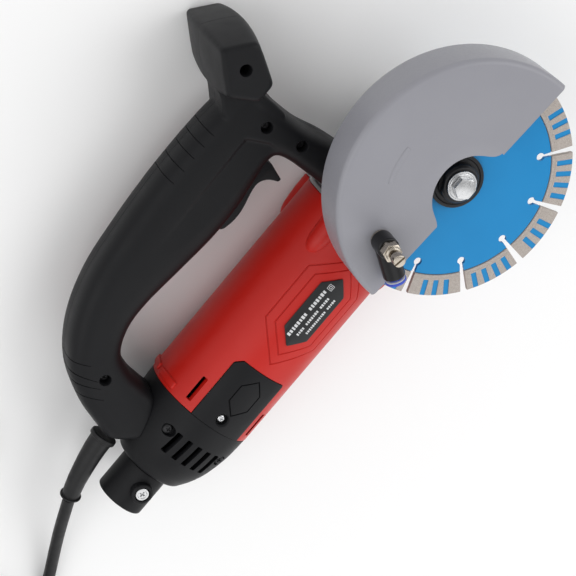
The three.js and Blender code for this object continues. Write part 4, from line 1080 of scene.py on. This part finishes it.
def make_guard():
    """The half guard: a deep pressed shell cut off below, with a notch, a clamp collar and its screw."""
    front, back, wall = GUARD_FRONT, GUARD_BACK, GUARD_WALL
    outside = [(0, front), (GUARD_R - 30, front), *arc(3.5, front + 3.5, -90, 0), *arc(5, back - 5, 0, 90),
               (0, back)]
    inner = GUARD_R - wall
    inside = fillet([(0, front + wall), (inner, front + wall), (inner, back - wall), (0, back - wall)],
                    [0, 1.6, 3, 0], 5)
    shell = cut(lathe("y", divided(outside, 12), steps=288), lathe("y", inside, steps=288))
    below = spun(prism([(-120, GUARD_EDGE), (120, GUARD_EDGE), (120, -120), (-120, -120)], -95, -40),
                 -GUARD_TILT)
    hole = prism([(-30.5, GUARD_EDGE - 10), *NOTCH, (31, GUARD_EDGE - 10)], -95, -70)
    shell = cut(shell, below, hole)
    bevelled(shell, 0.55, 2, 50)
    # A faint raised arc on the guard's face.
    arc_r, high, half = 54.5, front - 0.4, 1.7
    spots = [math.radians(a) for a in range(91, 118, 2)]
    band = [(math.cos(a) * (arc_r + half), math.sin(a) * (arc_r + half)) for a in spots]
    band += [(math.cos(a) * (arc_r - half), math.sin(a) * (arc_r - half)) for a in reversed(spots)]
    shell = join(shell, prism(band, high, front + 1, 0.75, 4))
    collar = ring("y", NECK_R + 0.3, 29, back - wall, -43, edge=0.5)
    lug = box((24, 38), (-52.7, -43.5), (-26, -15), 1.2)
    shell = join(shell, collar, lug)
    shell = cut(shell, box((20, 40), (-52, -40), (-21.3, -19.7)), rod("z", 2.6, -30, -10, (33.5, -47.8), 32),
                rod("y", NECK_R + 0.3, -60, -40, steps=96), rod("y", 4.6, -90, -80, FITTING, 48))
    place(shell, "guard_shell", GREY_PAINT, "grey_paint", "root", "guard", sharp=32)
    centre = (33.5, -47.8)
    fastener = join(rod("z", 4, -14.7, -10.7, centre, 48, 0.5), rod("z", 2.3, -28, -14, centre, 32))
    fastener = cut(fastener, rod("z", 2.2, -12.7, -10, centre, 6))
    return place(fastener, "guard_screw", ZINC, "zinc_steel", "root", "guard_clamp_screw")


# ------------------------------------------------------------------ water fitting
def on_arm(obj):
    """Turns and moves a solid that was built along x on to the fitting's arm."""
    turn = math.degrees(math.atan2(ARM[1], ARM[0]))
    return shifted(spun(obj, turn), FITTING[0], 0, FITTING[1])


def arm_rod(radius, low, high, steps=48, edge=0.0):
    """A round bar along the fitting's arm, between two distances from the fitting's own axis."""
    return on_arm(rod("x", radius, low, high, (ARM_Y, 0), steps, edge))


def arm_lathe(profile):
    return on_arm(lathe("x", profile, (ARM_Y, 0), 64))


def make_fitting():
    """The water fitting: stem, nut, needle screw, elbow, and the release collar on the elbow's arm."""
    at = FITTING
    stem = lathe("y", fillet([(0, -100), (4.2, -100), (4.2, -86.5), (6.3, -86.5), (6.3, -85.3),
                              (4.2, -85.3), (4.2, -78.5), (0, -78.5)], [0, 0.4, 0, 0.4, 0.3, 0, 0.4, 0], 3),
                 at, 64)
    stem = cut(stem, rod("y", 1.8, -90, -78, at, 32))
    place(stem, "fitting_stem", NICKEL, "nickel_brass", "root", "water_stem")
    nut = hexagon_bar(10.74, -106.5, -100.4, at, 0.6, math.radians(20))
    thread = [(0, -109.0), (3.9, -109.0)]
    for i in range(4):
        thread += [(4.6, -108.7 + i * 0.6), (4.1, -108.4 + i * 0.6)]
    nut = join(nut, lathe("y", thread + [(4.4, -106.2), (0, -106.2)], at, 48))
    nut = cut(nut, rod("y", 2.8, -110, -100, at, 40))
    place(nut, "fitting_nut", NICKEL, "nickel_brass", "root", "water_nut")
    knob = fillet([(0, -117.5), (3.9, -117.5), (3.9, -111.5), (2.4, -111.5), (2.4, -101), (0, -101)],
                  [0, 0.6, 0.5, 0, 0.3, 0], 3)
    needle = lathe("y", knob, at, 64)
    slot = shifted(spun(box((-5, 5), (-118.5, -115.7), (-0.6, 0.6)), -10), at[0], 0, at[1])
    needle = cut(needle, slot)
    place(needle, "needle_knob", NICKEL, "nickel_brass", "needle_screw", "needle_screw")
    body = fillet([(0, -100), (6.9, -100), (6.9, -86.9), (0, -86.9)], [0, 1.0, 0.6, 0], 4)
    elbow = join(lathe("y", body, at, 72), arm_rod(6.9, 0, 23, 72, 0.6))
    elbow = remeshed(elbow, 0.35, 6)
    elbow = cut(elbow, rod("y", 4.5, -101, -86, at, 48), arm_rod(5.1, 14, 24), arm_rod(2, 3, 24, 32))
    place(elbow, "elbow_body", SMOOTH_BLACK, "black_plastic", "hose_elbow", "hose_elbow")
    sleeve = arm_lathe(fillet([(3.1, 17), (4.8, 17), (4.8, 25.2), (6.6, 25.2), (6.7, 27.0), (3.4, 27.2),
                               (3.1, 26.6)], [0, 0.2, 0, 0.3, 0.5, 0.3, 0.2], 3) + [(3.1, 17)])
    band = arm_lathe([(4.82, 24.6), (6.3, 24.7), (6.3, 25.1), (4.82, 25.1), (4.82, 24.6)])
    place(sleeve, "collar_sleeve", BLUE_PLASTIC, "blue_plastic", "release_collar", "release_collar")
    return place(band, "collar_band", WHITE_PLASTIC, "blue_plastic", "release_collar")


make_gear_case()
make_bearing_cover()
make_blade()
make_flange_parts()
make_guard()
make_fitting()


# ------------------------------------------------------------------ loop handle
# Across the loop from its hand side to its outside, (x, z) each, from the front leg's foot to the rear leg's.
LOOP_RIBS = [((-58.2, 34), (-30.5, 34)), ((-58.2, 58), (-32, 58)), ((-58.6, 72), (-35.6, 80)),
             ((-61, 79.6), (-35.4, 106)), ((-66.5, 81.2), (-38, 126)), ((-76, 80.4), (-60, 131)),
             ((-88, 78.4), (-82, 132.6)), ((-102, 76.6), (-104, 133)), ((-126, 76.4), (-124, 132.6)),
             ((-155, 79.5), (-153, 130.6)), ((-185, 83), (-190, 126)), ((-205, 82), (-222, 115.5)),
             ((-222, 74), (-247, 99)), ((-230, 59), (-262.5, 78)), ((-232.5, 45), (-271.5, 56)),
             ((-234.5, 34), (-275, 41)), ((-244, 26.5), (-266, 27.5)),]
GRIP_OUTLINE = divided(fillet([(-47, 144.6), (-27, 167.6), (-9.9, 152), (-24.3, 126.6), (-37.6, 126.8)],
                              [5, 3, 4.5, 5, 5], 6), 3.0)
NECK = [(-36, 92), (-34, 118), (-29, 138), (-40, 150), (-47, 146), (-52.5, 136), (-60, 128), (-61, 118),
        (-50, 100)]


def through_rings(verts, rings, sides):
    """A solid through rings of points, closed with a face at each end."""
    faces = [[i * sides + k, i * sides + (k + 1) % sides, (i + 1) * sides + (k + 1) % sides,
              (i + 1) * sides + k] for i in range(rings - 1) for k in range(sides)]
    faces += [list(range(sides)), list(range((rings - 1) * sides, rings * sides))]
    return from_faces(verts, faces)


def loop_solid(ribs, shrink, samples, sides):
    """The loop through its rounded four-sided ribs, made smaller all round by shrink."""
    squared = lambda value: math.copysign(abs(value) ** 0.6, value)
    verts = []
    edges = [spline([rib[end] for rib in ribs], samples) for end in (0, 1)]
    for inner, outer in zip(*edges):
        middle, reach = (inner + outer) / 2, (outer - inner) / 2
        reach *= 1 - shrink / reach.length
        for k in range(sides):
            angle = 2 * math.pi * k / sides
            across, sideways = squared(math.cos(angle)), squared(math.sin(angle))
            verts.append((middle.x + reach.x * across, (HANDLE_HALF - shrink) * sideways,
                          middle.y + reach.y * across))
    return through_rings(verts, len(edges[0]), sides)


def grip_solid(shrink, edge, steps=28):
    """The cross grip: fuller in the middle of its length, with rounded ends."""
    half = GRIP["half"] - shrink
    rings = [(math.cos(t) * edge, edge * math.sin(t)) for t in (0, 0.4, 0.8, 1.2)]
    rows = [(-half + a, -edge + b) for b, a in [(r[1], edge - r[0]) for r in rings]]
    rows += [(y, 0.0) for y in np.linspace(-half + edge, half - edge, steps)]
    rows += [(-y, inset) for y, inset in reversed(rows[:len(rings)])]
    centre = Vector((GRIP["x"], GRIP["z"]))
    verts = []
    for y, inset in rows:
        out = GRIP["swell"] * (1 - (y / GRIP["half"]) ** 2) + inset - shrink
        for point in GRIP_OUTLINE:
            arm = Vector(point) - centre
            arm *= 1 + out / arm.length
            verts.append((centre.x + arm.x, y, centre.y + arm.y))
    return through_rings(verts, len(rows), len(GRIP_OUTLINE))


def groove_tool(start, end, width, reach=26.0):
    """A slab across the handle that holds the (x, z) line from start to end, wide along the line's normal."""
    a, b = Vector(start), Vector(end)
    ahead = (b - a).normalized()
    side = Vector((-ahead.y, ahead.x)) * width / 2
    a = a - ahead * 14
    return prism([tuple(a - side), tuple(b - side * 0.3), tuple(b + side * 0.3), tuple(a + side)], -reach,
                 reach)


def make_handle():
    """The loop handle with its neck and cross grip, hollowed, cut for what it holds, and split in two shells."""
    neck = prism(fillet(NECK, [4] * len(NECK), 4), 2 - HANDLE_HALF, HANDLE_HALF - 2, 5.0, 5)
    outside = join(loop_solid(LOOP_RIBS, 0, 10, 56), neck, grip_solid(0, 2.6))
    # The panel round the trigger stands a little lower than the rest of each side, and fades out behind.
    for side in (-1, 1):
        panel = prism([(-205, 107.3), (-62.4, 107.3), (-55.5, 92), (-57, 60), (-205, 60)], -40,
                      1.7 - HANDLE_HALF)
        for vert in panel.data.vertices:
            if vert.co.x < -200 and vert.co.y > -30:
                vert.co.y -= 2.6
        if side > 0:
            moved(panel, MIRROR)
        outside = cut(outside, panel)
    outside = remeshed(outside, 0.8, 7)
    # Fine grooves across the loop's back, and round the rear leg.
    core = loop_solid(LOOP_RIBS, 0.9, 10, 56)
    grooves = [groove_tool((x, 134), (x - 0.4, 125), 0.9) for x in (-72.5, -81.5, -91, -101, -111)]
    for start, end in (((-242.9, 102.3), (-237.3, 89.7)), ((-248.8, 95.5), (-243.7, 78.5)),
                       ((-252.8, 87.7), (-246.9, 73.8)), ((-258, 79.5), (-252.2, 66.8))):
        grooves.append(groove_tool(start, end, 0.9))
    cutter = cut(join(*grooves), core)
    outside = cut(outside, cutter)

    wall = 3.5
    hollow = loop_solid([((-58.2, 28), (-30.5, 28)), *LOOP_RIBS[1:-1], ((-240, 31), (-270, 33))], wall, 5, 32)
    hollow = join(hollow, grip_solid(wall, 0.5, 8))
    for centre in (*HANDLE_SCREWS, GRIP_SCREW):
        hollow = cut(hollow, rod("y", 6.4, -60, 60, centre, 32))
    hollow = cut(hollow, rod("y", 4.6, -16, -9.2, TRIGGER_PIVOT, 32),
                 rod("y", 4.6, 9.2, 16, TRIGGER_PIVOT, 32))
    body = cut(outside, hollow)
    for centre in (*HANDLE_SCREWS, GRIP_SCREW):
        # The well opens out by the surface, from the start to the end of a short cone.
        seat, start, end = (-20, -39.4, -40.6) if centre == GRIP_SCREW else (-11.3, -18.2, -19.4)
        well = lathe("y", [(0, -60), (4.4, -60), (4.4, end), (3.7, start), (3.7, seat), (0, seat)], centre,
                     48)
        body = cut(body, well, rod("y", 2.2, seat - 1, 12, centre, 24))
    rear = [(radius + 0.3, x) for radius, x in reversed([tuple(p) for p in spline(CAP_LINE, 5)])]
    motor = lathe("x", [(0, CAP_REAR - 0.3), *rear, (BODY_R + 0.3, HOUSING_FRONT), (0, HOUSING_FRONT)],
                  steps=128)
    body = cut(body, motor, box((-126, -65.4), (-8.6, 8.6), (60, 86)), rod("y", 5.4, 10, 30, LOCK, 48),
               rod("x", 7.4, -290, -262, (0, 40), 48), rod("y", 2.2, -13, 13, TRIGGER_PIVOT, 32),
               box((-60, -20), (-30, 30), (20, 38.8)))
    left = cut(copied(body), box((-330, 20), (-60, 0.15), (0, 190)))
    right = cut(body, box((-330, 20), (-0.15, 60), (0, 190)))
    place(right, "handle_right", BLACK, "black_plastic", "root", "handle_shell_right", sharp=50)
    return place(left, "handle_left", BLACK, "black_plastic", "root", "handle_shell_left", sharp=50)


def make_trigger():
    """The trigger lever, which stands out of the loop's hand side and turns on the trigger pin."""
    outline = bezier((-121.5, 86), ((-121.5, 92), (-112, 92), (-110.5, 88)), ((-78, 85),), ((-67.6, 84),),
                     ((-66.9, 76.6),), ((-71, 65.2),), ((-72, 64.8), (-73, 65), (-73.6, 66)),
                     ((-75, 71), (-78, 76), (-84, 76)), ((-94, 75.6), (-102, 69), (-117, 73.5)),
                     ((-121, 75), (-121.5, 80), (-121.5, 86)), steps=10)[:-1]
    body = prism(outline, -8.1, 8.1)
    bevelled(body, 1.1, 4, 50)
    body = cut(body, rod("y", 2.3, -10, 10, TRIGGER_PIVOT, 32))
    return place(body, "trigger_lever", BLACK, "black_plastic", "trigger", "trigger")


make_handle()
make_trigger()
for i, centre in enumerate(HANDLE_SCREWS, 1):
    place(screw(3.2, 1.9, -14.0, -11.6, 10, centre), f"shell_screw_{i}", BLACKENED, "blackened_steel", "root",
          f"handle_screw_{i}")
place(screw(3.2, 1.9, -22.7, -20.3, 10, GRIP_SCREW), "shell_screw_4", BLACKENED, "blackened_steel", "root",
      "handle_screw_4")
button = lathe("y", fillet([(0, 13), (5, 13), (5, 21.5), (0, 21.5)], [0, 0.3, 1.4, 0], 5), LOCK, 64)
place(cut(button, rod("y", 2.6, 21.0, 25, LOCK, 40)), "lock_cap", RED, "red_plastic", "lock_button",
      "lock_button")


# ------------------------------------------------------------------ floor and light
ROOM = {"sides": 1.0, "top": 0.55}
# Each lamp: its place and size in metres, and its power in watts.
LAMPS = (("key", (1.1, -0.5, 1.4), 1.6, 12), ("fill", (-1.0, 0.9, 1.5), 1.8, 11),
         ("front", (-0.7, -1.0, 1.2), 1.6, 6))


def make_stage():
    """A pale floor, an even room, and three soft lamps."""
    floor = box((-9, 9), (-9, 9), (-0.05, 0))
    floor.name = "floor"
    look = Look("floor_paint", Roughness=0.6)
    look.colour(look.noise(3, 2), (0.86, 0.86, 0.86), (0.88, 0.88, 0.88))
    floor.data.materials.append(look.material)

    # A room that is bright near the horizon and dimmer overhead, so that sides catch more light than tops.
    world = bpy.data.worlds.new("room")
    world.use_nodes = True
    nodes, links = world.node_tree.nodes, world.node_tree.links
    where = nodes.new("ShaderNodeTexCoord")
    parts = nodes.new("ShaderNodeSeparateXYZ")
    height = nodes.new("ShaderNodeMapRange")
    for key, value in (("From Min", 0.05), ("From Max", 0.75), ("To Min", ROOM["sides"]),
                       ("To Max", ROOM["top"])):
        height.inputs[key].default_value = value
    links.new(where.outputs["Generated"], parts.inputs[0])
    links.new(parts.outputs["Z"], height.inputs["Value"])
    links.new(height.outputs[0], nodes["Background"].inputs["Strength"])
    nodes["Background"].inputs["Color"].default_value = (1.0, 1.0, 1.0, 1)
    bpy.context.scene.world = world
    for name, spot, size, power in LAMPS:
        light = bpy.data.lights.new(name, "AREA")
        light.shape = "DISK"
        light.size = size
        light.energy = power
        lamp = bpy.data.objects.new(name, light)
        lamp.location = spot
        aim = Vector((-0.12, 0.05, 0.05)) - Vector(spot)
        lamp.rotation_euler = aim.to_track_quat("-Z", "Y").to_euler()
        bpy.context.scene.collection.objects.link(lamp)


make_stage()
bpy.context.scene.view_settings.view_transform = "Standard"
